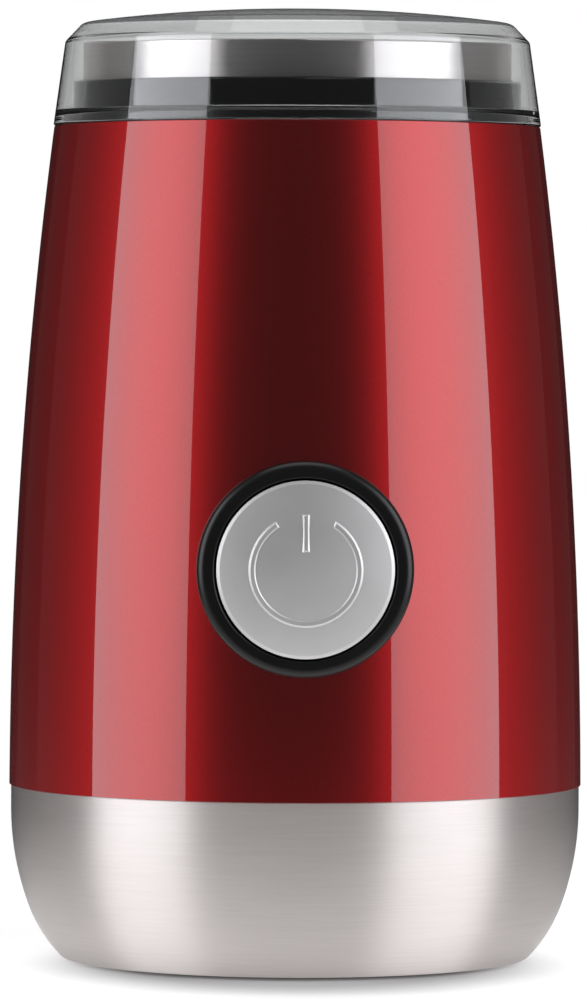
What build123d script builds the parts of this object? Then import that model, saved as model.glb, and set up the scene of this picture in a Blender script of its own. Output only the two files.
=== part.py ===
from build123d import *
import math
import os

# Electric coffee grinder, in millimetres. Z runs up the motor shaft, the feet stand on Z = 0
# and the button faces -Y.

# Body outline, read from the photograph and scaled to the widest diameter
body_diameter = 98.0
seam_z = 30.2                 # joint between base cup and painted shell
shell_top_z = 142.6
shell_taper = 7.4             # how much the radius shrinks from seam to top
shell_bulge_depth = 1.72      # how far the side stands out from a straight taper
shell_edge_radius = 0.4
shell_lip_width = 1.3         # turned-in top edge
sheet = 0.8                   # steel of shell, cup and bowl
cup_step = 0.3                # the cup stands this far inside the shell's lower edge
cup_straight = 4.0            # upright band of the cup below the seam
cup_arc_radius = 48.5         # curve of the side below it
cup_round_radius = 25.0       # tighter curve towards the foot
cup_round_angle = 20          # where it starts, in degrees below level
cup_edge_radius = 1.5         # edge of the foot
foot_gap = 0.5                # bottom edge of the steel above the table
hem_width = 2.98              # flat ring under the foot
hem_height = 1.0
cup_lip_width = 3.0

# Fits
overrun = 1.0                 # how far a cut runs past the faces it opens
slip = 0.3                    # pieces that slide or drop in
snug = 0.05                   # pieces pushed or screwed together
running = 0.05                # shaft in its bearings
match = 0.01                  # tolerance for finding an edge by its radius

# Lid
lid_height = 20.0             # top of the shell to top of the lid
lid_crown = 2.45              # dome of the top
lid_overhang = 0.15           # skirt past the shell's top edge
lid_lean = 2.0                # how far the side leans in up to the shoulder
lid_slope = 2.9               # how far the shoulder goes in
lid_shoulder_drop = 5.5       # shoulder below the top
lid_top_round_radius = 1.6
lid_shoulder_round_radius = 1.0
lid_skirt_wall = 1.4
lid_skirt_gap = 0.15          # skirt above the shell
lid_neck_gap = 0.5            # lid wall outside the collar's neck
lid_wall = 1.75
lid_roof = 2.0
lid_edge_radius = 0.3
tab_width = 6.0
tab_depth = 8.8               # how far the tab reaches below the collar's flange top
tab_thick = 1.2

# Collar
flange_inset = 1.5            # flange inside the shell's top edge
flange_height = 2.2
flange_width = 1.8
neck_wall = 1.4
neck_height = 4.85
neck_round_radius = 0.4
collar_skirt_depth = 8.6
collar_skirt_gap = 0.2
clip_count = 4
clip_angle = 45
clip_width = 8.0
clip_height = 2.4
clip_reach = 1.4
clip_root = 0.4               # clip rooted in the skirt
clip_lift = 0.6               # clip above the skirt's lower edge

# Bowl and its bush
bowl_rim_height = 13.4        # rim above the shell's top
bowl_corner_radius = 9.0
bowl_rim_round_radius = 0.3
cushion_height = 4.4
cushion_width = 2.8
cushion_inset = 0.8           # cushion inside the floor's flat part
gland_flange_radius = 9.0
gland_flange_thick = 1.6
gland_stem_radius = 6.8
gland_bore_gap = 0.4          # bush clear of the shaft
gland_stem_below = 3.6        # stem's end below the deck
gland_nut_radius = 10.0       # across the corners
gland_nut_height = 3.0
seal_radius = 5.4
seal_height = 2.6

# Blade, hub and nut
hub_radius = 7.0
hub_height = 6.6
hub_gap = 0.5                 # hub above the bush
blade_gap = 7.0               # blade's tips inside the bowl's wall
blade_flat = 10.0             # half length of the level middle
blade_lift = 4.3              # one tip up, the other down by this much
blade_thick = 1.4
blade_root = 6.5              # half width at the middle
blade_tip = 5.4
blade_nose = 3.0
blade_back = 1.6
blade_bevel = 0.9
blade_bevel_width = 2.4
blade_nut_wall = 2.2          # nut's corners outside the shaft
blade_nut_height = 3.2
blade_nut_dome = 1.6
nut_roof = 1.0

# Chassis
deck_z = 99.0                 # underside of the deck
deck_thick = 3.0
rim_inset = 1.0               # chassis rim inside the shell's top edge
rim_step = 0.4
rim_height = 2.0
tube_wall = 2.0
tube_step_width = 1.0         # lower tube and deck stand out this far
tube_step_depth = 9.6         # lower tube begins this far below the shell's top
post_inset = 1.0              # posts inside the edge of the cup's lip
post_count = 4
post_angle = 45
post_radius = 4.0
post_foot_z = 5.0
ring_gap = 0.3                # seam ring inside the cup's wall
ring_wall = 1.6
ring_below = 3.2              # seam ring below and above the seam
ring_above = 5.8
web = 3.0
plate_thick = 2.0
plate_half_width = 19.0

# Bottom cover, screws, feet
cover_gap = 0.3               # cover inside the steel
cover_top_z = 4.0
boss_radius = 3.7
screw_radius = 1.4
screw_hole_radius = 1.45
screw_clear_radius = 1.7
screw_head_radius = 2.8
screw_head_height = 1.8
screw_length = 12.0
screw_pocket_radius = 2.95
screw_shelf = 1.4             # boss left above the screw's head
screw_cross_width = 0.8
screw_cross_depth = 0.8
screw_cross_length = 3.6
pilot_depth = 13.0
vent_count = 8
vent_angle = 22.5
vent_ring_radius = 15.0
vent_length = 11.0
vent_width = 2.6
foot_inset = 6.0              # feet inside the edge of the cup's lip
foot_radius = 5.0
foot_seat = 1.2
foot_stem_radius = 1.8
foot_stem_above = 0.6         # stem's end above the cover
foot_edge_radius = 0.4

# Cord gland at the back
cord_z = 20.0
cord_bore_radius = 3.5
cord_neck_radius = 5.0
cord_flange_radius = 7.0
cord_proud = 3.25             # outer face past the cup's upright band
cord_length = 13.45
cord_collar_thick = 1.8
cord_collar_radius = 6.2
cord_edge_radius = 0.6

# Button
button_z = 68.5
bezel_proud = 1.9             # face of the bezel past the shell
bezel_lip_width = 1.6         # bezel past the shell's hole
bezel_wall = 1.3
bezel_edge_radius = 1.5
bezel_mouth_radius = 0.3
bezel_depth = 9.4             # face of the bezel to the button plate
spigot_radius = 16.3
hook_width = 5.0
hook_wall = 1.2
hook_barb = 0.9
hook_depth = 2.2
disc_gap = 0.33               # disc inside the bezel
disc_proud = 0.2              # disc's edge past the bezel's face
disc_crown = 1.7              # dome of its face
disc_thick = 1.8              # at the edge
disc_edge = 0.4
sign_share = 0.637            # sign's radius to the disc's
sign_line_width = 1.1
sign_height = 0.25
sign_gap_angle = 62
sign_bar_low_share = 0.28
sign_bar_high_share = 1.04
cap_depth = 5.3               # back of the cap behind the bezel's face
spring_pocket_depth = 2.9     # floor of the spring's pocket behind the bezel's face
spring_pocket_radius = 8.4
stem_radius = 2.5
stem_lug_thick = 0.6
stem_lug_radius = 3.1
stem_hole_radius = 2.7
stem_nose_radius = 1.5
button_spring_radius = 6.2
button_spring_wire_radius = 0.3
button_spring_turns = 4

# Snap switches, one behind the button and one under the lid's rod
switch_length = 19.8
switch_depth = 10.2
switch_thick = 6.4
switch_behind = 5.5           # face of the start switch behind the button plate
switch_peg_radius = 1.2
switch_peg_length = 5.0
switch_peg_pitch = 9.5
switch_peg_back = 6.5         # pegs behind the switch's face
shelf_thick = 2.0
shelf_half_width = 11.0
lever_pin_radius = 0.4
lever_pin_inset = 1.4         # pin from the switch's end
lever_pin_stand = 0.7         # pin ahead of the switch's face
lever_width = 4.0
lever_thick = 0.4
lever_curl_radius = 0.7
lever_gap = 0.1               # nose of stem or rod clear of its lever
start_lever_length = 9.6
lid_lever_length = 14.5
ear_height = 1.5
ear_width = 2.6
plunger_radius = 0.8
plunger_hole_radius = 0.9
plunger_arm = 3.4             # plunger from the lever's pin
plunger_length = 4.0
plunger_gap = 0.1
plunger_room = 6.0
terminal_width = 3.2
terminal_thick = 0.5
terminal_length = 5.0
terminal_inset = 1.6          # terminals from the switch's back
terminal_pitch = 6.4

# Lid interlock, in a frame turned to the tab's bearing
interlock_angle = -15         # from +X, so 75 degrees to the right of the button
groove_wall = 0.5             # tube left behind the groove
groove_gap = 0.2
rod_gap = 0.15                # rod and tab clear of the groove's floor
rod_width = 5.0
rod_top_gap = 0.1             # rod below the tab
rod_foot_below = 6.0          # underside of the rod's foot below the deck
rod_foot_thick = 2.4
rod_foot_reach = 5.9          # foot inward from the bracket's wall
rod_foot_end = 11.0
nose_low = -0.2
nose_high = 1.8
bracket_height = 23.0
bracket_thick = 1.6
bracket_inset = 0.9           # bracket's wall inside the deck's edge
bracket_shelf_width = 7.1
bracket_start = -15.0
bracket_end = 13.0
lid_switch_start = -14.0      # end of the lid switch nearest the lever's pin
interlock_spring_radius = 2.0
interlock_spring_wire_radius = 0.25
interlock_spring_turns = 8
interlock_spring_offset = 8.2
spring_peg_radius = 1.3
spring_peg_length = 3.0

# Motor
mount_height = 7.0            # rubber mounts between deck and motor
motor_below = 22.0            # middle of the lamination stack below the upper bracket
lower_plate_below = 34.0      # lower bracket below the middle of the stack
stator_width = 52.0
stator_depth = 42.0
stator_corner_radius = 12.0
stack_height = 22.0
stator_bore_radius = 14.8
shoe_radius = 17.3            # back of the pole shoes
window_inner = 11.0
yoke = 4.5                    # steel left outside the windows
window_low = 9.0
window_high = 16.5
coil_gap = 0.3
coil_inner = 13.5
coil_end = 7.0
coil_round_radius = 5.0
bolt_offset = 17.9
bolt_radius = 1.6
bolt_hole_radius = 1.65
bolt_head_radius = 3.0
bolt_head_height = 2.0
column_radius = 3.0
bracket_plate_thick = 3.0
boss_wall = 2.0
bush_radius = 6.0
bush_length = 8.0
bush_stand = 0.5              # bracket's boss past each end of its bush
upper_bush_below = 2.8        # bush's lower end below the upper bracket
lower_bush_below = 4.0        # bush's lower end below the lower bracket
shaft_radius = 3.0
shaft_end_below = 6.5         # shaft's end below the lower bracket
air_gap = 0.6
core_height = 23.0
core_slot_count = 12
core_slot_width = 2.0
core_slot_depth = 3.2
winding_bore_radius = 5.0
winding_radius = 12.8
winding_height = 5.6
winding_round_radius = 2.4
commutator_radius = 9.0
commutator_stand = 3.0        # commutator above the lower bracket
commutator_height = 10.0
riser_radius = 10.0
riser_height = 1.4
bar_slot_width = 0.5
bar_slot_depth = 0.8
washer_thick = 0.8
washer_radius = 5.6
washer_gap = 0.1
brush_stand = 7.2             # middle of the brushes above the lower bracket
brush_width = 5.0
brush_height = 6.0
brush_back = 17.0
brush_gap = 0.08
brush_fit_gap = 0.1
holder_inner = 11.2
holder_outer = 25.0
holder_half_width = 5.0
holder_height = 12.0
holder_end_wall = 1.5
brush_spring_radius = 1.9
brush_spring_wire_radius = 0.2
brush_spring_turns = 5
mount_x = 17.0
mount_y = 12.5
mount_radius = 4.5
mount_bore_radius = 1.5
mount_screw_head_height = 1.8
mount_screw_head_radius = 2.6

# Terminal block and capacitor on the bottom cover
block_half_width = 10.0
block_low_y = 8.0
block_high_y = 22.0
block_height = 10.0
block_edge_radius = 1.0
block_screw_pitch = 9.0
block_screw_radius = 2.0
block_screw_depth = 5.0
capacitor_half_width = 9.0
capacitor_low_y = -21.0
capacitor_high_y = -12.0
capacitor_height = 14.0
capacitor_edge_radius = 1.2

# Leads inside the body
lead_radius = 0.9
lead_end = 3.0                # a lead runs square to the piece it joins for this far
lead_low_z = 9.0
supply_gap = 10.0             # supply lead's run up the left side, from the laminations
neutral_gap = 7.0             # neutral lead's run up the right side
lead_below_deck = 15.0
lead_post_gap = 1.1           # middle of a lead past the posts, ahead and sideways
lead_corner_gap = 3.7
lead_under = 4.0              # lead passes this far under the lid switch's bracket
riser_inset = 10.0            # leads rise this far inside the bracket's wall
brush_lead_stand = 5.0        # brush leads above the lower bracket
brush_lead_gap = 4.0
brush_lead_y = 3.0
coil_lead_above = 15.0        # coil leads above the middle of the stack
coil_lead_y = 11.0
capacitor_lead_x = 5.0
capacitor_lead_z = 22.0

# Outline of the body
up = (Align.CENTER, Align.CENTER, Align.MIN)
body_radius = body_diameter / 2
shell_top_radius = body_radius - shell_taper
shell_lip_radius = shell_top_radius - shell_lip_width
cup_radius = body_radius - cup_step
cup_straight_z = seam_z - cup_straight
cup_arc_x = cup_radius - cup_arc_radius
cup_round_reach = cup_arc_radius - cup_round_radius
cup_round_x = cup_arc_x + cup_round_reach * math.cos(math.radians(cup_round_angle))
cup_round_z = cup_straight_z - cup_round_reach * math.sin(math.radians(cup_round_angle))
cup_foot_radius = cup_round_x + math.sqrt(cup_round_radius ** 2 - (cup_round_z - foot_gap) ** 2)
hem_top_z = foot_gap + hem_height
lip_top_z = hem_top_z + sheet
hem_radius = cup_foot_radius - hem_width
cup_lip_radius = hem_radius - cup_lip_width
post_ring_radius = cup_lip_radius - post_inset
foot_ring_radius = cup_lip_radius - foot_inset
cord_front = cup_radius + cord_proud
cord_back = cord_front - cord_length

# Collar, bowl and lid step in from the shell's top edge
rim_radius = shell_top_radius - rim_inset
tube_top_radius = rim_radius - rim_step
tube_bore_radius = tube_top_radius - tube_wall
deck_radius = tube_top_radius + tube_step_width
tube_step_z = shell_top_z - tube_step_depth
flange_radius = shell_top_radius - flange_inset
flange_top_z = shell_top_z + flange_height
neck_radius = flange_radius - flange_width
neck_top_z = flange_top_z + neck_height
collar_bore_radius = neck_radius - neck_wall
collar_skirt_radius = tube_bore_radius - collar_skirt_gap
collar_low_z = shell_top_z - collar_skirt_depth
chassis_top_z = shell_top_z - sheet
bowl_radius = collar_bore_radius - slip
bowl_rim_z = shell_top_z + bowl_rim_height
lid_top_z = shell_top_z + lid_height
lid_shoulder_z = lid_top_z - lid_shoulder_drop
lid_skirt_radius = shell_top_radius + lid_overhang
lid_shoulder_radius = lid_skirt_radius - lid_lean
lid_top_radius = lid_shoulder_radius - lid_slope

# Bowl, blade and motor stack up from the deck and hang below it
deck_top_z = deck_z + deck_thick
bowl_floor_z = deck_top_z + cushion_height
bowl_top_floor_z = bowl_floor_z + sheet
cushion_radius = bowl_radius - bowl_corner_radius - cushion_inset
gland_top_z = bowl_top_floor_z + gland_flange_thick
gland_end_z = deck_z - gland_stem_below
hub_z = gland_top_z + hub_gap
blade_z = hub_z + hub_height
blade_reach = bowl_radius - sheet - blade_gap
blade_nut_z = blade_z + blade_thick
shaft_high_z = blade_nut_z + blade_nut_height
upper_plate_top_z = deck_z - mount_height
upper_plate_z = upper_plate_top_z - bracket_plate_thick
motor_z = upper_plate_z - motor_below
lower_plate_z = motor_z - lower_plate_below
upper_bush_z = upper_plate_z - upper_bush_below
lower_bush_z = lower_plate_z - lower_bush_below
shaft_low_z = lower_plate_z - shaft_end_below
stack_low_z = motor_z - stack_height / 2
stack_high_z = motor_z + stack_height / 2
window_outer = stator_width / 2 - yoke
core_radius = stator_bore_radius - air_gap
core_low_z = motor_z - core_height / 2
core_high_z = motor_z + core_height / 2
holder_low_z = lower_plate_z + bracket_plate_thick
commutator_z = holder_low_z + commutator_stand
brush_z = holder_low_z + brush_stand

# Seam ring, and the shell's radius at the button
ring_radius = cup_radius - sheet - ring_gap
ring_low_z = seam_z - ring_below
ring_high_z = seam_z + ring_above
shell_span = math.hypot(shell_taper, shell_top_z - seam_z)
shell_arc_radius = (shell_span ** 2 / 4 + shell_bulge_depth ** 2) / (2 * shell_bulge_depth)
button_share = (button_z - seam_z) / (shell_top_z - seam_z)
button_bow = button_share * (1 - button_share) * shell_span ** 2 / (2 * shell_arc_radius)
bezel_front = body_radius - shell_taper * button_share + button_bow + bezel_proud
plate_front = bezel_front - bezel_depth
plate_back = plate_front - plate_thick
bezel_root = plate_back - hook_depth
bezel_radius = spigot_radius + bezel_lip_width
bezel_bore_radius = spigot_radius - bezel_wall
disc_radius = bezel_bore_radius - disc_gap
disc_front = bezel_front + disc_proud
disc_dome_radius = (disc_radius ** 2 + disc_crown ** 2) / (2 * disc_crown)
disc_dome_middle = disc_front + disc_crown - disc_dome_radius
sign_radius = disc_radius * sign_share
cap_front = disc_front - disc_thick
cap_back = bezel_front - cap_depth
spring_pocket = bezel_front - spring_pocket_depth
stem_end = plate_back - slip - stem_lug_thick
stem_nose_front = plate_back      # centre of the rounded nose
switch_front = plate_back - switch_behind

# Lid interlock and switches
groove_floor = tube_bore_radius + groove_wall
tab_inner = groove_floor + rod_gap
tab_low_z = flange_top_z - tab_depth
rod_top_z = tab_low_z - rod_top_gap
rod_foot_z = deck_z - rod_foot_below
groove_half = tab_width / 2 + groove_gap
bracket_z = deck_z - bracket_height
bracket_wall = deck_radius - bracket_inset
lid_shelf_z = bracket_z + shelf_thick
lid_switch_top_z = lid_shelf_z + switch_depth
lid_switch_out = bracket_wall - switch_thick / 2
lid_switch_along = lid_switch_start + switch_length / 2
lid_pin_z = lid_switch_top_z + lever_pin_stand
nose_z = lid_pin_z + lever_thick / 2 + lever_gap
pin_x = lever_pin_inset + lever_curl_radius - switch_length / 2
# Lean of the start lever that leaves the stem's nose just clear of it
nose_stand = stem_nose_radius + lever_thick / 2 + lever_gap
nose_ahead = stem_nose_front - switch_front - lever_pin_stand
nose_turn = math.acos(nose_stand / math.hypot(pin_x, nose_ahead))
start_lever_angle = math.degrees(nose_turn - math.atan2(-pin_x, nose_ahead))

# Frames: the button's, the cord gland's and the lid interlock's
front = Plane(origin=(0, 0, button_z), x_dir=(1, 0, 0), z_dir=(0, -1, 0))
rear = Plane(origin=(0, 0, cord_z), x_dir=(-1, 0, 0), z_dir=(0, 1, 0))
catch = Plane.XY.rotated((0, 0, interlock_angle))


def pillar(radius, low, high, at=(0, 0), mode=Mode.ADD):
    with Locations((at[0], at[1], low)):
        Cylinder(radius, high - low, align=up, mode=mode)


def block(low, high, mode=Mode.ADD):
    middle = tuple((a + b) / 2 for a, b in zip(low, high))
    with Locations(middle):
        Box(*(b - a for a, b in zip(low, high)), mode=mode)


def rim(solid, radius, z):
    found = solid.edges().filter_by(GeomType.CIRCLE)
    return [e for e in found if abs(e.radius - radius) < match and abs(e.arc_center.Z - z) < match]


# Solid of revolution whose side runs from low to high and bulges outward
def bulged_core(low, high):
    step_r = high[0] - low[0]
    step_z = high[1] - low[1]
    span = math.hypot(step_r, step_z)
    middle_r = (low[0] + high[0]) / 2 + shell_bulge_depth * step_z / span
    middle_z = (low[1] + high[1]) / 2 - shell_bulge_depth * step_r / span
    with BuildPart() as core:
        with BuildSketch(Plane.XZ):
            with BuildLine():
                ThreePointArc(low, (middle_r, middle_z), high)
                Polyline(high, (0, high[1]), (0, low[1]), low)
            make_face()
        revolve(axis=Axis.Z)
    return core.part


# Height at which the cup's curve tightens, with the skin moved outward by grow
def cup_join(grow):
    return cup_straight_z - (cup_arc_radius + grow) * math.sin(math.radians(cup_round_angle))


# Point on the cup's curved side at a height, with its skin moved outward by grow
def cup_side(z, grow):
    if z < cup_join(grow):
        return cup_round_x + math.sqrt((cup_round_radius + grow) ** 2 - (cup_round_z - z) ** 2), z
    return cup_arc_x + math.sqrt((cup_arc_radius + grow) ** 2 - (cup_straight_z - z) ** 2), z


# Everything inside the cup's skin above a floor, with the skin moved outward by grow
def cup_core(floor_z, grow):
    join_z = cup_join(grow)
    foot = cup_side(floor_z, grow)
    join = cup_side(join_z, grow)
    shoulder = (cup_radius + grow, cup_straight_z)
    with BuildPart() as core:
        with BuildSketch(Plane.XZ):
            with BuildLine():
                ThreePointArc(foot, cup_side((floor_z + join_z) / 2, grow), join)
                ThreePointArc(join, cup_side((join_z + cup_straight_z) / 2, grow), shoulder)
                Polyline(shoulder, (shoulder[0], seam_z), (0, seam_z), (0, floor_z), foot)
            make_face()
        revolve(axis=Axis.Z)
    return core.part


# Open coil spring standing on XY
def wound_spring(mean_radius, wire_radius, turns, length):
    rise = length - 2 * wire_radius
    with BuildPart() as spring:
        with BuildLine() as path:
            Helix(rise / turns, rise, mean_radius, center=(0, 0, wire_radius))
        with BuildSketch(Plane(origin=path.line @ 0, z_dir=path.line % 0)):
            Circle(wire_radius)
        sweep(is_frenet=True)
    return spring.part


# Rounded slab in the outline of the motor's laminations
def motor_slab(low, high):
    with BuildSketch(Plane.XY.offset(low)) as outline:
        RectangleRounded(stator_width, stator_depth, stator_corner_radius)
    extrude(outline.sketch, amount=high - low)


# Motor end bracket: slab, bush seat and a column to the laminations round each bolt
def motor_bracket(plate_z, bush_z, stack_z):
    plate_top_z = plate_z + bracket_plate_thick
    column_low_z = min(plate_z, stack_z)
    column_high_z = max(plate_top_z, stack_z)
    with BuildPart() as bracket:
        motor_slab(plate_z, plate_top_z)
        pillar(bush_radius + boss_wall, bush_z - bush_stand, bush_z + bush_length + bush_stand)
        with Locations((0, bolt_offset), (0, -bolt_offset)):
            pillar(column_radius, column_low_z, column_high_z)
        with Locations((0, bolt_offset), (0, -bolt_offset)):
            pillar(bolt_hole_radius, column_low_z - overrun, column_high_z + overrun, mode=Mode.SUBTRACT)
        pillar(bush_radius + snug, bush_z, bush_z + bush_length + bush_stand + overrun, mode=Mode.SUBTRACT)
        pillar(shaft_radius + slip, bush_z - bush_stand - overrun, bush_z + overrun, mode=Mode.SUBTRACT)
    return bracket.part


parts = {}

with BuildPart() as lid:
    skirt_low_z = shell_top_z + lid_skirt_gap
    step_radius = neck_radius + lid_neck_gap
    skirt_bore = lid_skirt_radius - lid_skirt_wall
    top_edge_z = lid_top_z - lid_crown
    ceiling_z = lid_top_z - lid_roof
    ceiling_edge_z = top_edge_z - lid_roof
    ceiling_radius = lid_top_radius - lid_wall
    wall_top_radius = lid_shoulder_radius - lid_wall
    with BuildSketch(Plane.XZ):
        with BuildLine():
            Polyline(
                (skirt_bore, flange_top_z),
                (skirt_bore, skirt_low_z),
                (lid_skirt_radius, skirt_low_z),
                (lid_shoulder_radius, lid_shoulder_z),
                (lid_top_radius, top_edge_z),
            )
            ThreePointArc(
                (lid_top_radius, top_edge_z),
                (lid_top_radius / 2, lid_top_z - lid_crown / 4),
                (0, lid_top_z),
            )
            Line((0, lid_top_z), (0, ceiling_z))
            ThreePointArc(
                (0, ceiling_z),
                (ceiling_radius / 2, ceiling_z - lid_crown / 4),
                (ceiling_radius, ceiling_edge_z),
            )
            Polyline(
                (ceiling_radius, ceiling_edge_z),
                (wall_top_radius, lid_shoulder_z),
                (step_radius, flange_top_z),
                (skirt_bore, flange_top_z),
            )
        make_face()
    revolve(axis=Axis.Z)
    fillet(rim(lid, lid_shoulder_radius, lid_shoulder_z), lid_shoulder_round_radius)
    fillet(rim(lid, lid_top_radius, top_edge_z), lid_top_round_radius)
    fillet(rim(lid, lid_skirt_radius, skirt_low_z), lid_edge_radius)
    with Locations(catch):
        tab_root_z = flange_top_z + tab_thick
        block((tab_inner, -tab_width / 2, tab_low_z), (tab_inner + tab_thick, tab_width / 2, tab_root_z))
parts["lid"] = lid.part

with BuildPart() as grinding_bowl:
    corner_r = bowl_radius - bowl_corner_radius
    corner_z = bowl_floor_z + bowl_corner_radius
    inner_corner = bowl_corner_radius - sheet
    hole = gland_stem_radius + snug
    with BuildSketch(Plane.XZ):
        with BuildLine():
            Line((hole, bowl_floor_z), (corner_r, bowl_floor_z))
            RadiusArc((corner_r, bowl_floor_z), (bowl_radius, corner_z), -bowl_corner_radius)
            Polyline(
                (bowl_radius, corner_z),
                (bowl_radius, bowl_rim_z),
                (bowl_radius - sheet, bowl_rim_z),
                (bowl_radius - sheet, corner_z),
            )
            RadiusArc((bowl_radius - sheet, corner_z), (corner_r, bowl_top_floor_z), inner_corner)
            Polyline((corner_r, bowl_top_floor_z), (hole, bowl_top_floor_z), (hole, bowl_floor_z))
        make_face()
    revolve(axis=Axis.Z)
    rim_edges = rim(grinding_bowl, bowl_radius, bowl_rim_z)
    fillet(rim_edges + rim(grinding_bowl, bowl_radius - sheet, bowl_rim_z), bowl_rim_round_radius)
parts["grinding_bowl"] = grinding_bowl.part

with BuildPart() as bowl_cushion:
    pillar(cushion_radius, deck_top_z, bowl_floor_z)
    pillar(cushion_radius - cushion_width, deck_top_z - overrun, bowl_floor_z + overrun, mode=Mode.SUBTRACT)
parts["bowl_cushion"] = bowl_cushion.part

with BuildPart() as bowl_gland:
    pillar(gland_flange_radius, bowl_top_floor_z, gland_top_z)
    pillar(gland_stem_radius, gland_end_z, gland_top_z)
    pillar(shaft_radius + gland_bore_gap, gland_end_z - overrun, gland_top_z + overrun, mode=Mode.SUBTRACT)
    pillar(seal_radius + snug, gland_top_z - seal_height, gland_top_z + overrun, mode=Mode.SUBTRACT)
parts["bowl_gland"] = bowl_gland.part

with BuildPart() as gland_nut:
    with BuildSketch(Plane.XY.offset(deck_z - gland_nut_height)):
        RegularPolygon(gland_nut_radius, 6)
        Circle(gland_stem_radius + snug, mode=Mode.SUBTRACT)
    extrude(amount=gland_nut_height)
parts["gland_nut"] = gland_nut.part

with BuildPart() as shaft_seal:
    pillar(seal_radius, gland_top_z - seal_height, gland_top_z)
    pillar(shaft_radius + running, bowl_floor_z - overrun, gland_top_z + overrun, mode=Mode.SUBTRACT)
parts["shaft_seal"] = shaft_seal.part

with BuildPart() as top_collar:
    pillar(flange_radius, shell_top_z, flange_top_z)
    pillar(neck_radius, flange_top_z, neck_top_z)
    pillar(collar_skirt_radius, collar_low_z, shell_top_z)
    fillet(rim(top_collar, neck_radius, neck_top_z), neck_round_radius)
    pillar(collar_bore_radius, collar_low_z - overrun, neck_top_z + overrun, mode=Mode.SUBTRACT)
    clip_low_z = collar_low_z + clip_lift
    with PolarLocations(collar_skirt_radius, clip_count, clip_angle):
        clip_high_z = clip_low_z + clip_height
        block((-clip_root, -clip_width / 2, clip_low_z), (clip_reach, clip_width / 2, clip_high_z))
    with Locations(catch):
        block(
            (groove_floor, -groove_half, shell_top_z - overrun),
            (flange_radius + overrun, groove_half, flange_top_z + overrun),
            mode=Mode.SUBTRACT,
        )
parts["top_collar"] = top_collar.part

with BuildPart() as body_shell:
    add(bulged_core((body_radius, seam_z), (shell_top_radius, shell_top_z)))
    inner_low = (body_radius - sheet, seam_z)
    inner_high = (shell_top_radius - sheet, shell_top_z - sheet)
    add(bulged_core(inner_low, inner_high), mode=Mode.SUBTRACT)
    pillar(shell_lip_radius, chassis_top_z - overrun, shell_top_z + overrun, mode=Mode.SUBTRACT)
    fillet(rim(body_shell, shell_top_radius, shell_top_z), shell_edge_radius)
    with Locations(front):
        pillar(spigot_radius + slip, bezel_root, body_radius + overrun, mode=Mode.SUBTRACT)
parts["body_shell"] = body_shell.part

with BuildPart() as base_cup:
    add(cup_core(foot_gap, 0))
    fillet(rim(base_cup, cup_foot_radius, foot_gap), cup_edge_radius)
    add(cup_core(foot_gap + sheet, -sheet), mode=Mode.SUBTRACT)
    pillar(hem_radius + sheet, foot_gap, lip_top_z)
    pillar(hem_radius, foot_gap - overrun, hem_top_z, mode=Mode.SUBTRACT)
    pillar(cup_lip_radius, hem_top_z - overrun, lip_top_z + overrun, mode=Mode.SUBTRACT)
    with PolarLocations(post_ring_radius, post_count, post_angle):
        pillar(boss_radius + slip, hem_top_z - overrun, lip_top_z + overrun, mode=Mode.SUBTRACT)
    with Locations(rear):
        pillar(cord_neck_radius + snug, cord_back, body_radius + overrun, mode=Mode.SUBTRACT)
parts["base_cup"] = base_cup.part

with BuildPart() as bottom_cover:
    pillar(hem_radius - cover_gap, foot_gap, hem_top_z)
    pillar(cup_lip_radius - cover_gap, foot_gap, cover_top_z)
    head_top_z = post_foot_z - screw_shelf
    with PolarLocations(post_ring_radius, post_count, post_angle):
        pillar(boss_radius, foot_gap, post_foot_z)
    with PolarLocations(post_ring_radius, post_count, post_angle):
        pillar(screw_pocket_radius, foot_gap - overrun, head_top_z, mode=Mode.SUBTRACT)
        pillar(screw_clear_radius, foot_gap, post_foot_z + overrun, mode=Mode.SUBTRACT)
    with PolarLocations(foot_ring_radius, 4):
        pillar(foot_radius + snug, foot_gap - overrun, foot_gap + foot_seat, mode=Mode.SUBTRACT)
        pillar(foot_stem_radius + snug, foot_gap, cover_top_z + overrun, mode=Mode.SUBTRACT)
    with BuildSketch(Plane.XY.offset(foot_gap)):
        with PolarLocations(vent_ring_radius, vent_count, vent_angle):
            SlotOverall(vent_length, vent_width)
    extrude(amount=cover_top_z, mode=Mode.SUBTRACT)
parts["bottom_cover"] = bottom_cover.part

with BuildPart() as cover_screws:
    with PolarLocations(post_ring_radius, post_count, post_angle):
        pillar(screw_head_radius, head_top_z - screw_head_height, head_top_z)
        pillar(screw_radius, head_top_z - screw_head_height, head_top_z + screw_length)
    with PolarLocations(post_ring_radius, post_count, post_angle):
        cross_z = head_top_z - screw_head_height + screw_cross_depth / 2
        with Locations((0, 0, cross_z)):
            Box(screw_cross_length, screw_cross_width, screw_cross_depth, mode=Mode.SUBTRACT)
            Box(screw_cross_width, screw_cross_length, screw_cross_depth, mode=Mode.SUBTRACT)
parts["cover_screws"] = cover_screws.part

for place, bearing in {"right": 0, "rear": 90, "left": 180, "front": 270}.items():
    with BuildPart() as foot:
        with PolarLocations(foot_ring_radius, 1, bearing):
            pillar(foot_radius, 0, foot_gap + foot_seat)
            pillar(foot_stem_radius, 0, cover_top_z + foot_stem_above)
        fillet(rim(foot, foot_radius, 0), foot_edge_radius)
    parts["foot_" + place] = foot.part

with BuildPart() as cord_gland:
    with Locations(rear):
        pillar(cord_flange_radius, cord_back, cord_front)
    fillet(cord_gland.faces().sort_by(Axis.Y)[-1].edges(), cord_edge_radius)
    add(cup_core(foot_gap, snug), mode=Mode.SUBTRACT)
    with Locations(rear):
        pillar(cord_neck_radius, cord_back, cord_front)
        pillar(cord_collar_radius, cord_back, cord_back + cord_collar_thick)
        pillar(cord_bore_radius, cord_back - overrun, cord_front + overrun, mode=Mode.SUBTRACT)
parts["cord_gland"] = cord_gland.part

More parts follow.
